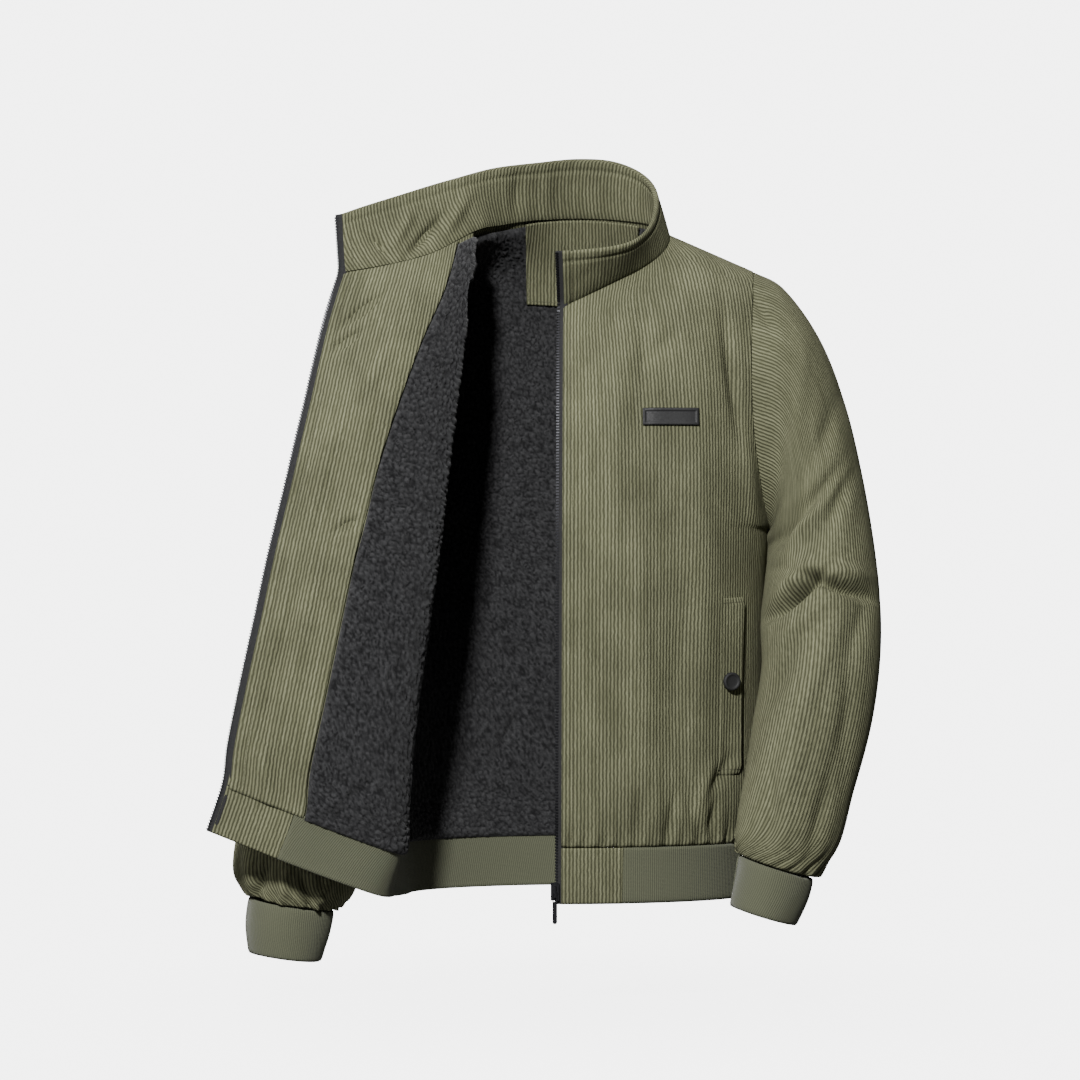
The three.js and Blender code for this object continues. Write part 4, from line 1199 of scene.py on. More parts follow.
LINING_CREASES = creases(
    (-70, -500, 60, 7, 30, -4.9), (-58, -490, 62, 6, 28, 2.8), (-110, -540, 75, 9, 30, -3.5),
    (-30, -420, 84, 16, 90, 3.5), (-100, -300, 95, 18, 120, -2.8), (-215, -545, 40, 7, 20, -3.5),
    (-240, -555, 30, 7, 16, 2.8),
)


BACK_FOLDS = creases(
    (-60, -300, 82, 22, 150, 3.0), (20, -380, 96, 18, 120, -2.5), (90, -250, 75, 16, 110, 2.5),
    (-110, -200, 60, 14, 70, -2.6), (120, -170, 120, 13, 70, -2.6), (-20, -520, 88, 14, 70, 2.0),
)
# Folds on the back of a sleeve, placed by u and v.
SLEEVE_FOLDS = creases(
    (0.3, 0.5, 8, 0.035, 0.12, -3.5), (-0.33, 0.56, -8, 0.03, 0.12, -3.5),
    (0.36, 0.44, -12, 0.03, 0.1, -2.5), (-0.4, 0.62, 10, 0.03, 0.12, -2.5),
)
# Spare cloth under the arm, by the size of u and by v; then where the outer side is drawn in above the cuff.
UNDERARM = Crease(0.5, 0.19, 0, 0.17, 0.11, 8.5)
CUFF_TAPER = (0, 0.84, 0, 0.14, 0.16)


def tube(surface: GridFn, nu: int, nv: int) -> Cloth:
    """A cloth that closes on itself."""
    return Cloth(surface, nu, nv, wraps=True)


@dataclass
class Cloths:
    """Every surface of the jacket, read once."""

    left: Cloth = field(default_factory=lambda: Cloth(left_front, 241, 241))
    back: Cloth = field(default_factory=lambda: Cloth(back_panel, 321, 241, grain=0.5))
    right: Cloth = field(default_factory=lambda: Cloth(right_front, 281, 241, grain=1.0))
    left_sleeve: Cloth = field(default_factory=lambda: tube(sleeve_grid(LEFT_SLEEVE, 1), 241, 261))
    right_sleeve: Cloth = field(default_factory=lambda: tube(sleeve_grid(RIGHT_SLEEVE, -1), 241, 261))
    left_cuff: Cloth = field(default_factory=lambda: tube(cuff_grid(LEFT_CUFF, 1), 161, 41))
    right_cuff: Cloth = field(default_factory=lambda: tube(cuff_grid(RIGHT_CUFF, -1), 161, 41))


def left_front_lift(spot: Spot) -> np.ndarray:
    """Gathers, creases and the turned free edge of the straight front.

    Args:
        spot: The places.

    Returns:
        A lift in mm for each place.
    """
    gather = Gather(HEM_V, BODY_RUN, 16, 3.2, 19, roll=1.6, seed=0.4)
    shoulder = Gather(1.0, -BODY_RUN, 19, 0.5, 9, roll=0.5, seed=2.2)
    edge = groove(spot.width, 9.0, depth=0.5) + turned(spot.width, 1.2, 1.6)
    return gather.press(spot) + shoulder.press(spot) + towards_viewer(LEFT_FRONT_CREASES, spot) + edge


def back_lift(spot: Spot) -> np.ndarray:
    """Gathers and broad soft folds of the back."""
    gather = Gather(HEM_V, BODY_RUN, 20, 2.8, 26, roll=1.6, seed=1.7)
    return gather.press(spot) + sum(fold.press(spot.width, spot.points[:, 2]) for fold in BACK_FOLDS)


def right_front_lift(spot: Spot) -> np.ndarray:
    """Gathers and the turned free edge of the open front."""
    gather = Gather(HEM_V, BODY_RUN, 19, 2.0, 24, roll=1.6, seed=3.1)
    return gather.press(spot) + turned(np.abs(spot.width), 1.2, 1.6)


def sleeve_lift(creases: Sequence[Crease], seed: float, taper: float) -> Callable:
    """The lift of a sleeve: gathers at the cuff, pucker at the armhole, spare cloth and creases.

    Args:
        creases: Its creases, placed by X and Z.
        seed: Fixes the pattern of its gathers.
        taper: How far it is drawn in above the cuff, in mm.

    Returns:
        The lift, from a Spot.
    """
    cuff = Gather(1.0, -SLEEVE_RUN, 15, 3.9, 26, roll=2.2, seed=seed)
    head = Gather(0.0, SLEEVE_RUN, 13, 1.4, 13, roll=1.0, seed=seed + 1)

    def lift(spot: Spot) -> np.ndarray:
        """The lift at a Spot.

        Args:
            spot: The places.

        Returns:
            A lift in mm for each place.
        """
        behind = np.clip(spot.normals[:, 1] * 1.3, 0, 1)
        rear = sum(fold.press(spot.u, spot.v) for fold in SLEEVE_FOLDS) * behind
        from_front = np.abs(spot.u)
        underarm = UNDERARM.press(from_front, spot.v)
        drawn_in = Crease(*CUFF_TAPER, -taper).press(spot.u, spot.v) * smooth_step(1 - spot.v, 0.0, 0.05)
        pucker = head.press(spot) * smooth_step(0.5 - from_front, 0.0, 0.16)
        return cuff.press(spot) + pucker + towards_viewer(creases, spot) + rear + underarm + drawn_in
    return lift


@dataclass
class Shells:
    """The outer corduroy: both fronts, the back and the sleeves."""

    maker: SheetMaker
    cloths: Cloths
    thickness: float = 1.8

    def build(self) -> None:
        """Makes the five shells."""
        c, corduroy = self.cloths, Finish.CORDUROY
        v_range = constant(HEM_V + SEAM_CLEAR, TOP_V)
        rows = (
            ("shell_left_front", c.left, (100, 180), constant(0, 1 - SEAM_U), v_range, left_front_lift,
             "left_front", (0.267, 0.6), 0.87),
            ("shell_back", c.back, (160, 160), constant(SEAM_U, 1 - SEAM_U), v_range, back_lift,
             "back_panel", (0.48, 0.65), 0.86),
            ("shell_right_front", c.right, (100, 160), constant(SEAM_U, 1), v_range, right_front_lift,
             "right_front", (0.275, 0.59), 0.85),
            ("sleeve_left", c.left_sleeve, (140, 210), constant(-0.5, 0.5), constant(0, TOP_V),
             sleeve_lift(LEFT_SLEEVE_CREASES, 0.3, 8.5), "left_sleeve", (0.43, 0.58), 0.77),
            ("sleeve_right", c.right_sleeve, (140, 190), constant(-0.5, 0.5), constant(0, TOP_V),
             sleeve_lift(RIGHT_SLEEVE_CREASES, 1.9, 2.0), "right_sleeve", (0.43, 0.6), 0.76),
        )
        for name, cloth, cells, u_range, v_span, lift, node, flat_size, share in rows:
            piece = self.maker.make(name, cloth, cells, u_range, v_span, lift, self.thickness)
            self.maker.wardrobe.dress(piece, corduroy, (node,))


@dataclass
class RibKnit:
    """The rib knit hem and cuffs, with the hem's corduroy tabs."""

    maker: SheetMaker
    cloths: Cloths
    thickness: float = 3.0
    left_tab: float = 0.205  # u at which the left tab ends
    right_tab: float = 0.825  # u at which the right tab starts

    @staticmethod
    def hem_line(s: np.ndarray, v: np.ndarray) -> np.ndarray:
        """The hem as one band: 0 to 1 on the left front, to 2 on the back, to 3 on the right front.

        Args:
            s: Where round the band.
            v: Shares of the height, up the cloth.

        Returns:
            One point for each place, rows by v and columns by u.
        """
        panels = (left_front, back_panel, right_front)
        parts = [panel(np.clip(s - i, 0, 1), v) for i, panel in enumerate(panels)]
        which = np.clip(np.floor(s), 0, 2).astype(int)
        return np.take_along_axis(np.stack(parts), which[None, None, :, None], axis=0)[0]

    def hem(self) -> None:
        """Makes the hem's rib and its two tabs."""
        band = Cloth(lambda u, v: self.hem_line(3 * u, v * HEM_V), 481, 25)
        top = HEM_V - SEAM_CLEAR

        def sunk(spot: Spot) -> np.ndarray:
            """The rib turned in at its top and its fold."""
            rise = spot.v * HEM_RISE
            return -0.7 + turned(rise, 0.9, 1.2) + turned(HEM_RISE - rise, 0.5, 2)

        def tab(spot: Spot) -> np.ndarray:
            """A tab with the same turned edges."""
            rise = spot.v / HEM_V * HEM_RISE
            return turned(rise, 0.9, 1.4) + turned(np.maximum(HEM_RISE - rise, 0), 0.4, 2)
        from_u, to_u = (self.left_tab + SEAM_U) / 3, (2 + self.right_tab - SEAM_U) / 3
        rib = self.maker.make("hem_rib_knit", band, (320, 16), constant(from_u, to_u),
                              constant(0, top / HEM_V), sunk, self.thickness)
        self.maker.wardrobe.dress(rib, Finish.KNIT, ("hem_rib",))
        rows = (("tab_left", self.cloths.left, constant(0, self.left_tab), "hem_tab_left"),
                ("tab_right", self.cloths.right, constant(self.right_tab, 1), "hem_tab_right"))
        for name, cloth, u_range, node in rows:
            piece = self.maker.make(name, cloth, (34, 22), u_range, constant(0, top), tab, self.thickness)
            self.maker.wardrobe.dress(piece, Finish.CORDUROY, (node,))

    def cuffs(self) -> None:
        """Makes both cuffs."""
        def sunk(spot: Spot) -> np.ndarray:
            """A cuff turned in at its fold and drawn in at its seam.

            Args:
                spot: The places.

            Returns:
                A lift in mm for each place.
            """
            rise = spot.v * CUFF_RISE
            soft = 0.5 * np.sin(spot.width / 11.0) * np.sin(spot.height / 17.0 + 1)
            return -0.8 + turned(rise, 1.4, 3) + turned(CUFF_RISE - rise, 0.9, 1.2) + soft
        rows = (("cuff_left", self.cloths.left_cuff, "left_cuff", (0.235, 0.049)),
                ("cuff_right", self.cloths.right_cuff, "right_cuff", (0.25, 0.055)))
        for name, cloth, node, size in rows:
            piece = self.maker.make(name, cloth, (110, 20), constant(-0.5, 0.5), constant(0, 1), sunk,
                                    self.thickness)
            self.maker.wardrobe.dress(piece, Finish.KNIT, (node,))


def pile_lift(seed: int, cell: float, edge: Callable, creases: Sequence[Crease]) -> Callable:
    """The lift of curly pile, which lies inside the shell and rounds off at its border.

    Args:
        seed: Fixes the curls.
        cell: Spacing of the curls in mm.
        edge: Distance in mm from the border at a Spot.
        creases: Folds of the lining, placed by X and Z.

    Returns:
        The lift in mm.
    """
    def lift(spot: Spot) -> np.ndarray:
        """The lift at a Spot.

        Args:
            spot: The places.

        Returns:
            A lift in mm for each place.
        """
        border = np.clip(edge(spot) / PILE_BORDER, 0, 1)
        rounded = np.sqrt(1 - (1 - border) ** 2)
        height = PILE_LOW + PILE_CURL * curls(spot.width, spot.height, cell, seed)
        return SHELL_UNDER - PILE_GAP - height * rounded + towards_viewer(creases, spot, both=True)
    return lift


@dataclass
class Linings:
    """The curly pile lining, the corduroy facings and the patch at the back of the neck."""

    maker: SheetMaker
    cloths: Cloths
    cell: float = 5.4  # mm from curl to curl
    thickness: float = 1.8
    facing_end: float = 0.27  # u at which the left facing ends
    patch: tuple = ((0.345, 0.625), (0.86, 0.998))  # the neck patch's reach in u and v on the back
    patch_sewn: tuple = (0.35, 0.62, 0.866)  # u of its sewn sides and v of its sewn foot

    def pile(self, name: str, cloth: Cloth, cells: tuple, u_range: Callable, v_range: tuple, node: str,
             flat_size: tuple, seed: int) -> None:
        """One piece of pile lining.

        Args:
            name: The piece's name.
            cloth: The surface it follows.
            cells: Columns and rows of its grid.
            u_range: Lowest and highest u for a v.
            v_range: Lowest and highest v.
            node: The frame node that it replaces.
            flat_size: Width and height as cut, in metres.
            seed: Fixes the curls.
        """
        def edge(spot: Spot) -> np.ndarray:
            """Distance in mm from the border.

            Args:
                spot: The places.

            Returns:
                A distance in mm for each place.
            """
            low, high = u_range(spot.v)
            wide = flat_size[0] / MM
            across = np.minimum(spot.u - low, high - spot.u) / np.maximum(high - low, 1e-6) * wide
            return np.minimum(across, np.minimum(spot.v - v_range[0], v_range[1] - spot.v) * BODY_RUN)
        piece = self.maker.make(name, cloth, cells, u_range, constant(*v_range),
                                pile_lift(seed, self.cell, edge, LINING_CREASES), inside=True,
                                curl=lambda spot: curls(spot.width, spot.height, self.cell, seed))
        self.maker.wardrobe.dress(piece, Finish.PILE, (node,))

    def build(self) -> list:
        """Makes the linings, the facings and the patch.

        Returns:
            The rows of stitches on facing and patch.
        """
        sewn = []
        c = self.cloths
        low = HEM_V - 0.008

        def seam(v: np.ndarray) -> np.ndarray:
            """The u at which the open front's facing meets its lining."""
            return blend_rows(FACING_SEAM, np.atleast_1d(v) * LAST_ROW)

        def right_span(v: np.ndarray) -> tuple:
            """The right lining's reach, drawn off the armhole near its top."""
            return 0.02 + 0.07 * smooth_step(v, 0.9, 0.98), seam(v) - 0.004
        self.pile("lining_right", c.right, (150, 300), right_span, (low, LINING_TOP),
                  "lining_right_front", (0.2, 0.585), 3)
        self.pile("lining_back_pile", c.back, (240, 300), constant(0.05, 0.95), (low, 0.99), "lining_back",
                  (0.45, 0.6), 5)
        self.pile("lining_left", c.left, (90, 160), constant(self.facing_end + 0.012, 0.9), (low, LINING_TOP),
                  "lining_left_front", (0.18, 0.55), 7)
        rows = (("facing_right_cloth", c.right, (48, 190), lambda v: (seam(v), np.full(np.shape(v), 0.995)),
                 FACING_CREASES, "facing_right", (0.088, 0.58), 0.962),
                ("facing_left_cloth", c.left, (34, 120), constant(0.005, self.facing_end), (), "facing_left",
                 (0.08, 0.545), 0.03))
        for name, cloth, cells, u_range, pressed, node, size, at in rows:
            def lift(spot: Spot, pressed: Sequence[Crease] = pressed) -> np.ndarray:
                """Under the shell, with a stitched furrow beside the free edge.

                Args:
                    spot: The places.
                    pressed: The facing's creases.

                Returns:
                    A lift in mm for each place.
                """
                from_edge = np.abs(spot.width)
                furrow = -groove(from_edge, 11.0) - 0.8 * groove(from_edge, 3.0, 1.5, 1.0)
                return FACING_UNDER + furrow + towards_viewer(pressed, spot, both=True)
            piece = self.maker.make(name, cloth, cells, u_range, constant(HEM_V - 0.005, 0.992), lift,
                                    self.thickness)
            self.maker.wardrobe.dress(piece, Finish.CORDUROY, (node,))

            def seen(spot: Spot, lift: Callable = lift) -> np.ndarray:
                """The face towards the wearer."""
                return lift(spot) - self.thickness - PROUD
            sewn.append(StitchLine(cloth, (at, HEM_V + 0.01), (at, LINING_TOP), seen))
        patch = self.maker.make("neck_patch_cloth", c.back, (70, 60), constant(*self.patch[0]),
                                constant(*self.patch[1]), flat_lift(PATCH_UNDER), self.thickness)
        self.maker.wardrobe.dress(patch, Finish.CORDUROY, ("neck_patch",))
        inner = flat_lift(PATCH_UNDER - self.thickness - PROUD)
        near, far, foot = self.patch_sewn
        around = ((near, LINING_TOP), (near, foot), (far, foot), (far, LINING_TOP))
        sewn += [StitchLine(c.back, start, stop, inner) for start, stop in zip(around, around[1:])]
        return sewn


@dataclass
class Collar:
    """The stand collar: two layers of corduroy turned over a rounded rim, topstitched all round."""

    maker: SheetMaker
    thick: float = 5.0
    rim_share: float = 0.05  # half the share of the loop's height that turns over the rim
    foot: float = 0.013  # where both faces start, above the neck seam
    stitch_down: float = 7.5  # mm from the rim to the topstitching
    stitch_in: float = 10.0  # mm from the ends to the topstitching

    def loop(self) -> GridFn:
        """The collar's outer face, rim and inner face as one surface, v from the outer foot to the inner one.

        Returns:
            The surface.
        """
        base = Cloth(collar_band, 401, 41)
        length = base.width[:, -1].mean()

        def surface(u: np.ndarray, v: np.ndarray) -> np.ndarray:
            """The loop on a grid of u by v.

            Args:
                u: Shares of the width, across the cloth.
                v: Shares of the height, up the cloth.

            Returns:
                One point for each place, rows by v and columns by u.
            """
            uu, vv = (axis.ravel() for axis in np.meshgrid(u, v))
            side = np.clip((vv - 0.5) / self.rim_share, -1, 1)
            height = np.clip((0.5 - np.abs(vv - 0.5)) / (0.5 - self.rim_share), 0, 1)
            place = base.read(uu, mix(self.foot, 1, height))
            up = unit(base.read(uu, np.ones(uu.size)).points - base.read(uu, np.zeros(uu.size)).points)
            half = self.thick / 2
            from_end = np.minimum(uu, 1 - uu) * length
            pinch = np.sqrt(1 - (1 - np.clip((from_end + 0.5) / 3.0, 0, 1)) ** 2)
            turn = side * np.pi / 2
            offset = -half - half * np.sin(turn) * pinch
            drop = np.where(np.abs(side) < 1, half * (np.cos(turn) - 1), -half)
            grid = place.points + place.normals * offset[:, None] + up * drop[:, None]
            return grid.reshape((v.size, u.size, 3))
        return surface

    def build(self) -> list:
        """Makes the collar.

        Returns:
            Its rows of stitches.
        """
        cloth = Cloth(self.loop(), 601, 121)
        length = cloth.width[0, -1]

        def lift(spot: Spot) -> np.ndarray:
            """Topstitched furrows and creases.

            Args:
                spot: The places.

            Returns:
                A lift in mm for each place.
            """
            off = np.abs(spot.v - 0.5)
            from_rim = np.clip(off - self.rim_share, 0, 1) / (0.5 - self.rim_share) * COLLAR_RISE
            from_end = np.minimum(spot.width, length - spot.width)
            near_foot = np.clip((0.5 - off) / 0.5, 0, 1) * COLLAR_RISE
            inner = np.where(spot.v > 0.5, 1.0, 0.3)
            soft = 0.5 * np.sin(spot.width / 23.0) * np.sin(spot.height / 19.0)
            sewn = groove(from_rim, self.stitch_down, depth=1.5) + groove(from_end, self.stitch_in, depth=1.4)
            folds = inner * towards_viewer(COLLAR_CREASES, spot)
            return sewn + turned(near_foot, 1.2, 2.5) + folds + soft
        piece = self.maker.make("collar_stand", cloth, (400, 64), constant(0.0015, 0.9985), constant(0, 1),
                                lift)
        self.maker.wardrobe.dress(piece, Finish.CORDUROY, ("collar",))
        down = self.stitch_down / COLLAR_RISE * (0.5 - self.rim_share) + self.rim_share
        end = self.stitch_in / length
        rows = [((end, 0.5 + down), (1 - end, 0.5 + down)), ((end, 0.5 - down), (1 - end, 0.5 - down))]
        rows += [((u, foot), (u, rim)) for foot, rim in ((0.98, 0.5 + down), (0.02, 0.5 - down))
                 for u in (end, 1 - end)]
        return [StitchLine(cloth, start, stop, lambda spot: lift(spot) + PROUD) for start, stop in rows]


ZIP_SPLIT = 0.915  # share of the zip's run that lies on the front; the rest lies on the collar


def up_front(t: np.ndarray) -> np.ndarray:
    """The v on the front at shares of the zip's run."""
    return np.clip(t / ZIP_SPLIT, 0, 1) * 0.995


def edge_line(panel: Cloth, u: float, collar_u: float, t: np.ndarray) -> np.ndarray:
    """Points of a free edge from the hem over the neck seam to the collar's rim.

    Args:
        panel: The front.
        u: The front's u at that edge.
        collar_u: The collar's u at that edge.
        t: Shares of the run.

    Returns:
        One point for each share.
    """
    band = Cloth(collar_band, 101, 21)
    front = panel.read(np.full(t.shape, u), up_front(t)).points
    stand = 0.06 + 0.94 * np.clip((t - ZIP_SPLIT) / (1 - ZIP_SPLIT), 0, 1)
    return np.where((t < ZIP_SPLIT)[:, None], front, band.read(np.full(t.shape, collar_u), stand).points)


@dataclass
class Zip:
    """Both halves of the open zip: woven tape and moulded teeth. Slider and pull are CAD nodes."""

    maker: SheetMaker
    cloths: Cloths
    clear: float = -4.0  # the tape starts this far past the free edge, so it is sewn in under it
    tape: float = 9.2  # mm wide
    inset: float = 2.2  # how far tape and teeth lie under the front's outer face
    pitch: float = 2.9  # mm from tooth to tooth
    tooth: tuple = (1.5, 2.6, 2.9)
    tooth_share: float = 0.95  # where the teeth sit across the tape
    end_clear: float = 2.0  # mm of bare tape at each end

    def half(self, side: str, edge: Callable, away: Callable, node: str) -> None:
        """One half, sewn to a front's free edge.

        Args:
            side: left or right, for the pieces' names.
            edge: The free edge for shares of its run.
            away: Directions off the edge for shares of its run.
            node: The frame node that it replaces.
        """
        def surface(u: np.ndarray, v: np.ndarray) -> np.ndarray:
            """The tape on a grid."""
            line, out = edge(v), away(v)
            return line[:, None] + out[:, None] * (self.clear + self.tape * u)[None, :, None]
        cloth = Cloth(surface, 9, 401)
        tape = self.maker.make(f"zip_tape_{side}", cloth, (6, 300), constant(0, 1), constant(0, 1),
                               flat_lift(-self.inset), 0.8)
        self.maker.wardrobe.dress(tape, Finish.TAPE, (node,))
        fine = np.linspace(0, 1, 900)
        run = lengths(cloth.read(np.full(fine.shape, self.tooth_share), fine).points)
        t = np.interp(np.arange(self.end_clear, run[-1] - self.end_clear, self.pitch), run, fine)
        row = cloth.read(np.full(t.shape, self.tooth_share), t)
        centres = row.points - row.normals * (self.inset + 0.4)
        teeth = joined_cubes(f"zip_teeth_{side}", centres, frames_along(centres, row.normals), self.tooth)
        self.maker.wardrobe.dress(teeth, Finish.METAL)

    def build(self) -> None:
        """Makes both halves."""
        c = self.cloths
        self.half("left", lambda v: edge_line(c.left, 0.0, 0.0, 1 - v),
                  lambda v: np.tile([-1.0, 0, 0], (v.size, 1)), "zip_left")

        def outwards(v: np.ndarray) -> np.ndarray:
            """Away from the open front, along its cloth."""
            edge, before = (c.right.read(np.full(v.size, u), up_front(v)).points for u in (1.0, 0.99))
            return unit(edge - before)
        self.half("right", lambda v: edge_line(c.right, 1.0, 1.0, v), outwards, "zip_right")


@dataclass
class Trim:
    """The chest label, the pocket welts and their snaps."""

    maker: SheetMaker
    cloths: Cloths
    label: tuple = (63.0, 117.0, -188.0, -171.0)  # left, right, bottom and top
    label_out: float = 2.1  # mm from the cloth to the edge of the label's face
    label_rim: float = 0.7  # mm that its rim rises
    label_sunk: float = 1.0  # mm from the rim down to the middle
    welt_span: tuple = (0.2, 0.392)  # lowest and highest v
    welt_inset: float = 0.006  # from a welt's ends to its stitches, in v
    welt_gap: float = 0.3  # mm from the cloth to a welt
    welt_open: float = 3.2  # mm that its opening edge stands off
    snap_radius: float = 9.0
    snap_v: float = 0.295
    # Share of the radius and height over the cloth, from the cap's middle over its rim to its foot.
    snap_profile: tuple = ((0, 6.6), (0.45, 6.7), (0.62, 6.9), (0.7, 7.35), (0.82, 7.6), (0.93, 7.3),
                           (1.0, 6.4), (1.0, 4.0), (0.9, 2.0))
    forward: tuple = (0.0, -0.8, 0.0)  # turns the caps to the front

    def build_label(self) -> None:
        """Makes the bare label: a moulded plate with a raised rim and a sunk middle."""
        left, right, bottom, top = self.label
        cloth = self.cloths.left
        u = np.linspace(0, 1, 13)
        v = np.linspace(0, 1, 5)
        places = np.array([[cloth.find(mix(left, right, a), mix(bottom, top, b)) for a in u] for b in v])
        points = cloth.read(places[..., 0].ravel(), places[..., 1].ravel()).points.reshape(v.size, u.size, 3)
        plate = Cloth(lambda a, b: points, u.size, v.size)
        wide, tall = right - left, top - bottom

        def lift(spot: Spot) -> np.ndarray:
            """Rim and sunk middle.

            Args:
                spot: The places.

            Returns:
                A lift in mm for each place.
            """
            rim = np.minimum(np.minimum(spot.u, 1 - spot.u) * wide, np.minimum(spot.v, 1 - spot.v) * tall)
            face = self.label_out + self.label_rim * smooth_step(rim, 0, 0.8)
            face = face - self.label_sunk * smooth_step(rim, 2.6, 3.4)
            return face + towards_viewer(LEFT_FRONT_CREASES, spot)
        piece = self.maker.make("label_plate", plate, (84, 26), constant(0, 1), constant(0, 1), lift, 1.9)
        self.maker.wardrobe.dress(piece, Finish.BLACK, ("chest_label",))

    def build_snap(self, name: str, cloth: Cloth, u: float, node: str) -> None:
        """Makes a moulded snap cap with a rolled rim and a dished middle.

        Args:
            name: The piece's name.
            cloth: The cloth under it.
            u: Where it sits across the cloth.
            node: The frame node that it replaces.
        """
        place = cloth.read(np.array([u]), np.array([self.snap_v]))
        normal = unit(place.normals[0] + self.forward)
        across = unit(np.cross([0.0, 0.0, 1.0], normal))
        up = np.cross(normal, across)
        profile = np.linspace(0, 1, len(self.snap_profile))
        radii, heights = np.array(self.snap_profile).T

        def surface(a: np.ndarray, b: np.ndarray) -> np.ndarray:
            """The cap on a grid of turn by profile.

            Args:
                a: Shares of the turn.
                b: Shares of the profile, from foot to middle.

            Returns:
                One point for each place, rows by v and columns by u.
            """
            r = np.interp(1 - b, profile, radii * self.snap_radius)[:, None, None]
            h = np.interp(1 - b, profile, heights)[:, None, None]
            turn = 2 * np.pi * a[None, :, None]
            return place.points[0] + normal * h + r * (np.cos(turn) * across + np.sin(turn) * up)
        cap = self.maker.make(name, Cloth(surface, 49, 33), (48, 32), constant(0, 1), constant(0, 1),
                              flat_lift(0.0))
        self.maker.close_tube(cap.data)
        self.maker.wardrobe.dress(cap, Finish.BLACK, (node,))

    def build(self) -> list:
        """Makes all the trim.

        Returns:
            The rows of stitches round the welts.
        """
        self.build_label()
        sewn = []
        foot, head = self.welt_span
        rows = (("left", self.cloths.left, 0.558, 0.668, 1.0), ("right", self.cloths.right, 0.3, 0.4, -1.0))
        for side, cloth, low, high, way in rows:
            def lift(spot: Spot, low: float = low, high: float = high, way: float = way) -> np.ndarray:
                """A welt lying on the cloth, its opening edge lifted a little.

                Args:
                    spot: The places.
                    low: Where the welt's near edge lies, as u.
                    high: Where the welt's far edge lies, as u.
                    way: 1 where u grows towards the opening, -1 where it falls.

                Returns:
                    A lift in mm for each place.
                """
                share = (spot.u - low) / (high - low)
                share = share if way > 0 else 1 - share
                ends = np.minimum(spot.v - foot, head - spot.v) * BODY_RUN
                under = left_front_lift(spot) if way > 0 else right_front_lift(spot)
                off = self.welt_gap + self.welt_open * smooth_step(share, 0.0, 1.0)
                return under + self.welt_gap + off * smooth_step(ends, -1.0, 7.0)
            piece = self.maker.make(f"welt_{side}", cloth, (26, 70), constant(low, high),
                                    constant(foot, head), lift, 1.7)
            self.maker.wardrobe.dress(piece, Finish.CORDUROY, (f"pocket_welt_{side}",))
            self.build_snap(f"snap_cap_{side}", cloth, mix(low, high, 0.42), f"snap_{side}")
            ends = ((low, high, foot + self.welt_inset), (high, low, head - self.welt_inset))
            sewn += [StitchLine(cloth, (start, at), (stop, at), lambda spot, lift=lift: lift(spot) + PROUD)
                     for start, stop, at in ends]
        return sewn


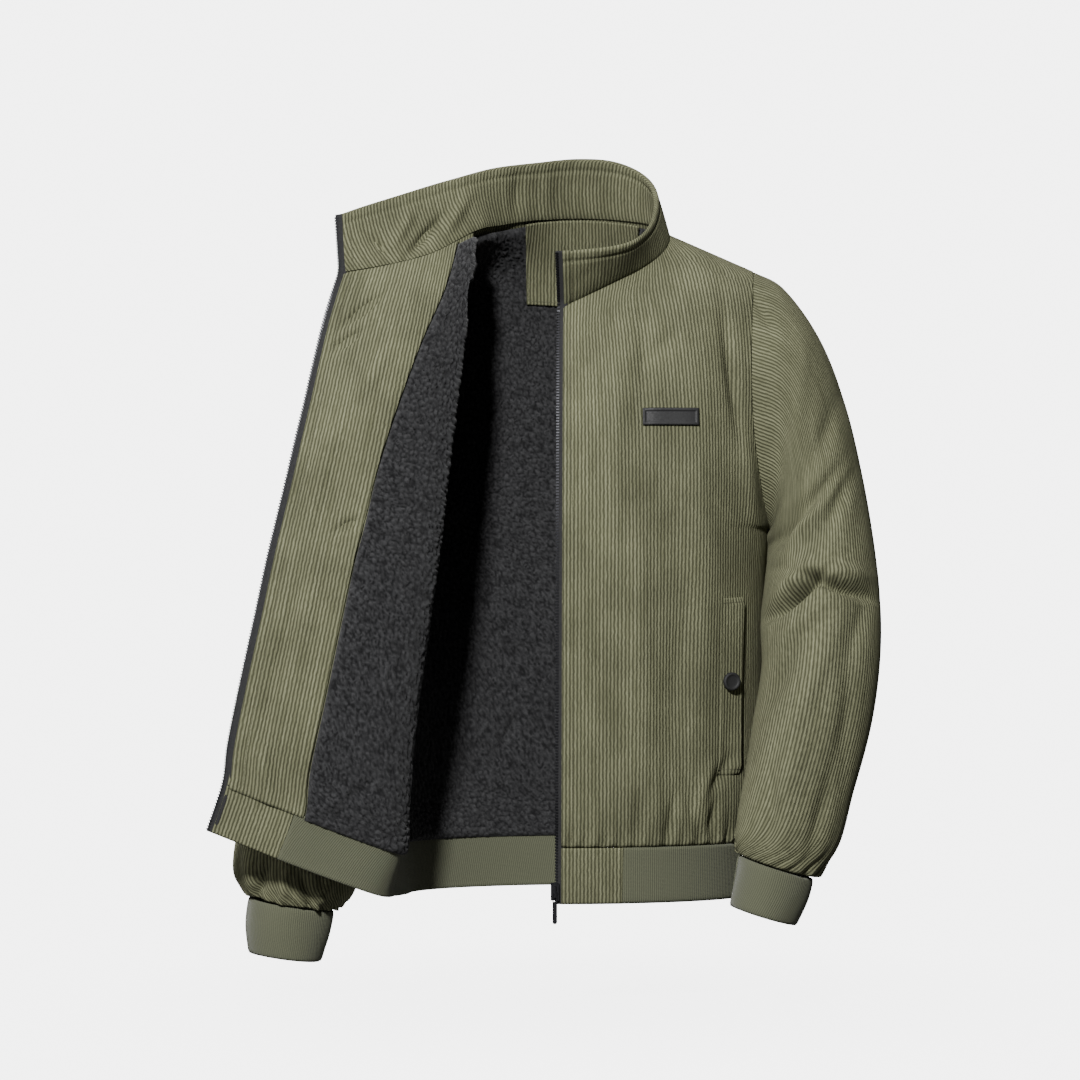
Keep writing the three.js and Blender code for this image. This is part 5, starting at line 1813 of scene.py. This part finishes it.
@dataclass
class Studio:
    """A pale floor and soft light from the upper left and front."""

    floor_z: float = -0.76
    floor_half: float = 6.0  # m
    fade: float = 1.0  # m from the jacket at which the floor is gone
    lights: tuple = (  # name, place, diameter in m, power in W
        ("key", (-0.85, -3.65, 1.75), 0.45, 415.0), ("fill", (-3.2, -1.9, 0.3), 1.5, 30.0),
        ("top", (-0.9, 0.1, 2.4), 1.6, 38.0), ("back", (-1.6, 3.2, 1.2), 2.0, 150.0))
    aim: tuple = (0.0, 0.0, -0.3)
    ambient: float = 0.16  # what the cloth gets from all round
    backdrop: float = 6.2  # what the camera sees
    camera: tuple = (-0.037, -4.0, -0.3)
    lens: float = 133.33  # mm, before a sensor of 36 mm
    clip: tuple = (0.1, 100.0)  # m

    def build(self) -> None:
        """Makes the floor, the lights, the world and the camera."""
        bm = bmesh.new()
        bmesh.ops.create_grid(bm, x_segments=1, y_segments=1, size=self.floor_half)
        mesh = bpy.data.meshes.new("floor")
        bm.to_mesh(mesh)
        bm.free()
        mesh.transform(Matrix.Translation((0, 0, self.floor_z)))
        floor = bpy.data.objects.new("floor", mesh)
        bpy.context.scene.collection.objects.link(floor)
        material, shader, tree = new_material("painted_studio_floor")
        # The floor fades out away from the jacket, so that no horizon shows.
        place = add_node(tree, "TexCoord")
        reach = add_node(tree, "VectorMath", {"operation": "LENGTH"}, in0=place.outputs["Object"])
        alpha = add_node(tree, "MapRange", SMOOTH, in0=reach.outputs["Value"], in1=0.1, in2=self.fade,
                         in3=0.8, in4=0.0)
        feed(tree, shader, Base_Color=linear(0xF6F6F6), Roughness=0.9, Alpha=alpha)
        mesh.materials.append(material)
        floor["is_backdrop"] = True
        for name, place, size, power in self.lights:
            data = bpy.data.lights.new(name, "AREA")
            data.shape = "DISK"
            data.size, data.energy = size, power
            light = bpy.data.objects.new(name, data)
            light.location = place
            aim = Vector(self.aim) - Vector(place)
            light.rotation_euler = aim.to_track_quat("-Z", "Y").to_euler()
            bpy.context.scene.collection.objects.link(light)
            light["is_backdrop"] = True
        world = bpy.data.worlds.new("studio")
        world.use_nodes = True
        tree = world.node_tree
        background = tree.nodes["Background"]
        # The camera sees a bright backdrop, while the cloth gets only a little light from all round.
        seen = add_node(tree, "LightPath")
        strength = add_node(tree, "MapRange", in0=seen.outputs["Is Camera Ray"], in3=self.ambient,
                            in4=self.backdrop)
        feed(tree, background, Color=linear(0xF0F0F0), Strength=strength)
        bpy.context.scene.world = world
        data = bpy.data.cameras.new("photo")
        data.lens, data.sensor_width = self.lens, 36.0
        data.clip_start, data.clip_end = self.clip
        camera = bpy.data.objects.new("photo", data)
        camera.location = self.camera
        camera.rotation_euler = (math.pi / 2, 0, 0)
        bpy.context.scene.collection.objects.link(camera)
        bpy.context.scene.camera = camera


def corners(pair: tuple) -> list:
    """Two corners as plain lists."""
    return [list(corner) for corner in pair]


def main() -> None:
    """Dresses the frame."""
    logging.basicConfig(level=logging.INFO, format="%(name)s %(message)s")
    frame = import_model()
    cad_bounds = corners(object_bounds())
    wardrobe = Wardrobe()
    wardrobe.build()
    maker = SheetMaker(wardrobe)
    cloths = Cloths()
    Shells(maker, cloths).build()
    knit = RibKnit(maker, cloths)
    knit.hem()
    knit.cuffs()
    sewn = Linings(maker, cloths).build() + Collar(maker).build() + Trim(maker, cloths).build()
    sewn.append(StitchLine(cloths.left, (0.033, HEM_V + 0.008), (0.033, LINING_TOP),
                           lambda spot: left_front_lift(spot) + PROUD))
    sew("topstitching", sewn, wardrobe)
    Zip(maker, cloths).build()
    for name in ("zip_slider", "zip_pull"):
        node = frame["nodes"][name]
        node.data.materials.clear()
        node.data.materials.append(wardrobe.materials[Finish.METAL])
    Studio().build()
    {"cad": cad_bounds, "scene": corners(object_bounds())}


if __name__ == "__main__":
    main()
